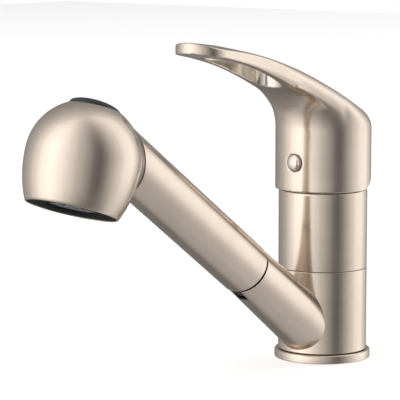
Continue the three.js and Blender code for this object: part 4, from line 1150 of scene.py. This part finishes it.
# Brightness round the light tent, at angles counted from the camera's side
TENT_STRENGTH = 2.0
TENT_WALL = [
    (-180, 0.13), (-160, 0.15), (-138, 0.22), (-118, 0.31), (-98, 0.52), (-78, 0.78), (-58, 0.88),
    (-38, 0.72), (-20, 0.52), (-2, 0.34), (14, 0.22), (26, 0.108), (37, 0.076), (48, 0.15), (60, 0.29),
    (78, 0.47), (96, 0.67), (116, 0.71), (136, 0.42), (156, 0.19), (180, 0.13),
]
TENT_GROUND = [
    (-180, 0.09), (-120, 0.17), (-75, 0.3), (-30, 0.22), (15, 0.12), (45, 0.14), (100, 0.42), (135, 0.28),
    (180, 0.09),
]
TENT_TOP = 0.43
TENT_TOP_POWER = 1.4
TENT_FOOT = 0.27
TENT_RADIUS = 5000.0
# Heights on the unit sphere between which the wall turns into the ground, and the ground into the foot
GROUND_FROM, GROUND_TO = -0.08, -0.75
FOOT_FROM, FOOT_TO = -0.85, -1.0
FLOOR_SIZE = 3000


def mixed(tree, factor, first, second):
    node = tree.nodes.new("ShaderNodeMix")
    node.data_type = "RGBA"
    for name, value in (("Factor", factor), ("A", first), ("B", second)):
        socket = node.inputs[name]
        if hasattr(value, "links"):
            tree.links.new(value, socket)
        else:
            socket.default_value = (value, value, value, 1)
    return node.outputs["Result"]


def maths(tree, operation, *values):
    node = tree.nodes.new("ShaderNodeMath")
    node.operation = operation
    for socket, value in zip(node.inputs, values):
        if hasattr(value, "links"):
            tree.links.new(value, socket)
        else:
            socket.default_value = value
    return node.outputs[0]


def levels(tree, around, table):
    ramp = tree.nodes.new("ShaderNodeValToRGB")
    ramp.color_ramp.interpolation = "EASE"
    elements = ramp.color_ramp.elements
    while len(elements) < len(table):
        elements.new(0.5)
    for element, (angle, level) in zip(elements, table):
        element.position = 0.5 + angle / 360
        element.color = (level, level, level, 1)
    tree.links.new(around, ramp.inputs["Fac"])
    return ramp.outputs["Color"]


def ramped(tree, value, start, end):
    node = tree.nodes.new("ShaderNodeMapRange")
    node.interpolation_type = "SMOOTHSTEP"
    node.inputs["From Min"].default_value = start
    node.inputs["From Max"].default_value = end
    tree.links.new(value, node.inputs["Value"])
    return node.outputs[0]


def make_tent():
    """A round light tent that lights the faucet and shows in its metal. The camera looks through it."""
    work = bmesh.new()
    bmesh.ops.create_uvsphere(work, u_segments=48, v_segments=24, radius=TENT_RADIUS * MM)
    mesh = bpy.data.meshes.new("tent")
    work.to_mesh(mesh)
    work.free()
    obj = link("tent", mesh)
    material = bpy.data.materials.new("tent_light")
    material.use_nodes = True
    tree = material.node_tree
    tree.nodes.clear()
    out = tree.nodes.new("ShaderNodeOutputMaterial")
    glow = tree.nodes.new("ShaderNodeEmission")
    coords = tree.nodes.new("ShaderNodeTexCoord")
    unit = tree.nodes.new("ShaderNodeVectorMath")
    unit.operation = "NORMALIZE"
    turn = tree.nodes.new("ShaderNodeMapping")
    turn.inputs["Rotation"].default_value = (0, 0, radians(90 - CAMERA_TURN))
    around = tree.nodes.new("ShaderNodeTexGradient")
    around.gradient_type = "RADIAL"
    split = tree.nodes.new("ShaderNodeSeparateXYZ")
    tree.links.new(coords.outputs["Object"], unit.inputs[0])
    tree.links.new(unit.outputs[0], turn.inputs["Vector"])
    tree.links.new(turn.outputs[0], around.inputs["Vector"])
    tree.links.new(unit.outputs[0], split.inputs[0])
    height = split.outputs["Z"]
    level_run = maths(tree, "SQRT", maths(tree, "SUBTRACT", 1.0, maths(tree, "MULTIPLY", height, height)))
    upward = maths(tree, "POWER", maths(tree, "SUBTRACT", 1.0, level_run), TENT_TOP_POWER)
    top_share = maths(tree, "MULTIPLY", maths(tree, "GREATER_THAN", height, 0.0), upward)
    wall = levels(tree, around.outputs["Fac"], TENT_WALL)
    ground = levels(tree, around.outputs["Fac"], TENT_GROUND)
    lower = mixed(tree, ramped(tree, height, GROUND_FROM, GROUND_TO), wall, ground)
    lower = mixed(tree, ramped(tree, height, FOOT_FROM, FOOT_TO), lower, TENT_FOOT)
    tree.links.new(mixed(tree, top_share, lower, TENT_TOP), glow.inputs["Color"])
    glow.inputs["Strength"].default_value = TENT_STRENGTH
    tree.links.new(glow.outputs[0], out.inputs[0])
    obj.data.materials.append(material)
    obj.visible_camera = False


def make_floor():
    """A white floor that keeps the faucet's shadow. It doesn't show in the metal."""
    size = FLOOR_SIZE
    points = [(-size, -size, 0), (size, -size, 0), (size, size, 0), (-size, size, 0)]
    obj = link("floor", mesh_from("floor", points, [(0, 1, 2, 3)]))
    material, tree, shader = node_material("floor_white")
    clouds = noise(tree, mapped(tree, (3, 3, 3)), 2.0)
    tinted(tree, shader, clouds, (0.8, 0.8, 0.8), (0.82, 0.82, 0.82))
    shader.inputs["Roughness"].default_value = 0.6
    path = tree.nodes.new("ShaderNodeLightPath")
    seen = maths(tree, "MAXIMUM", path.outputs["Is Camera Ray"], path.outputs["Is Glossy Ray"])
    seen = maths(tree, "MAXIMUM", seen, path.outputs["Is Transmission Ray"])
    tree.links.new(seen, shader.inputs["Emission Strength"])
    shader.inputs["Emission Color"].default_value = (0.5, 0.5, 0.5, 1)
    obj.data.materials.append(material)
    obj.visible_glossy = False


make_camera()
dress_cad_nodes()
make_base_ring()
make_sleeve()
make_dome_cap()
make_hub()
make_wand_tube()
make_collar()
make_ball()
make_toggle()
make_face()
make_handle()
make_button()
make_world()
make_tent()
make_floor()

scene.view_settings.view_transform = "Standard"
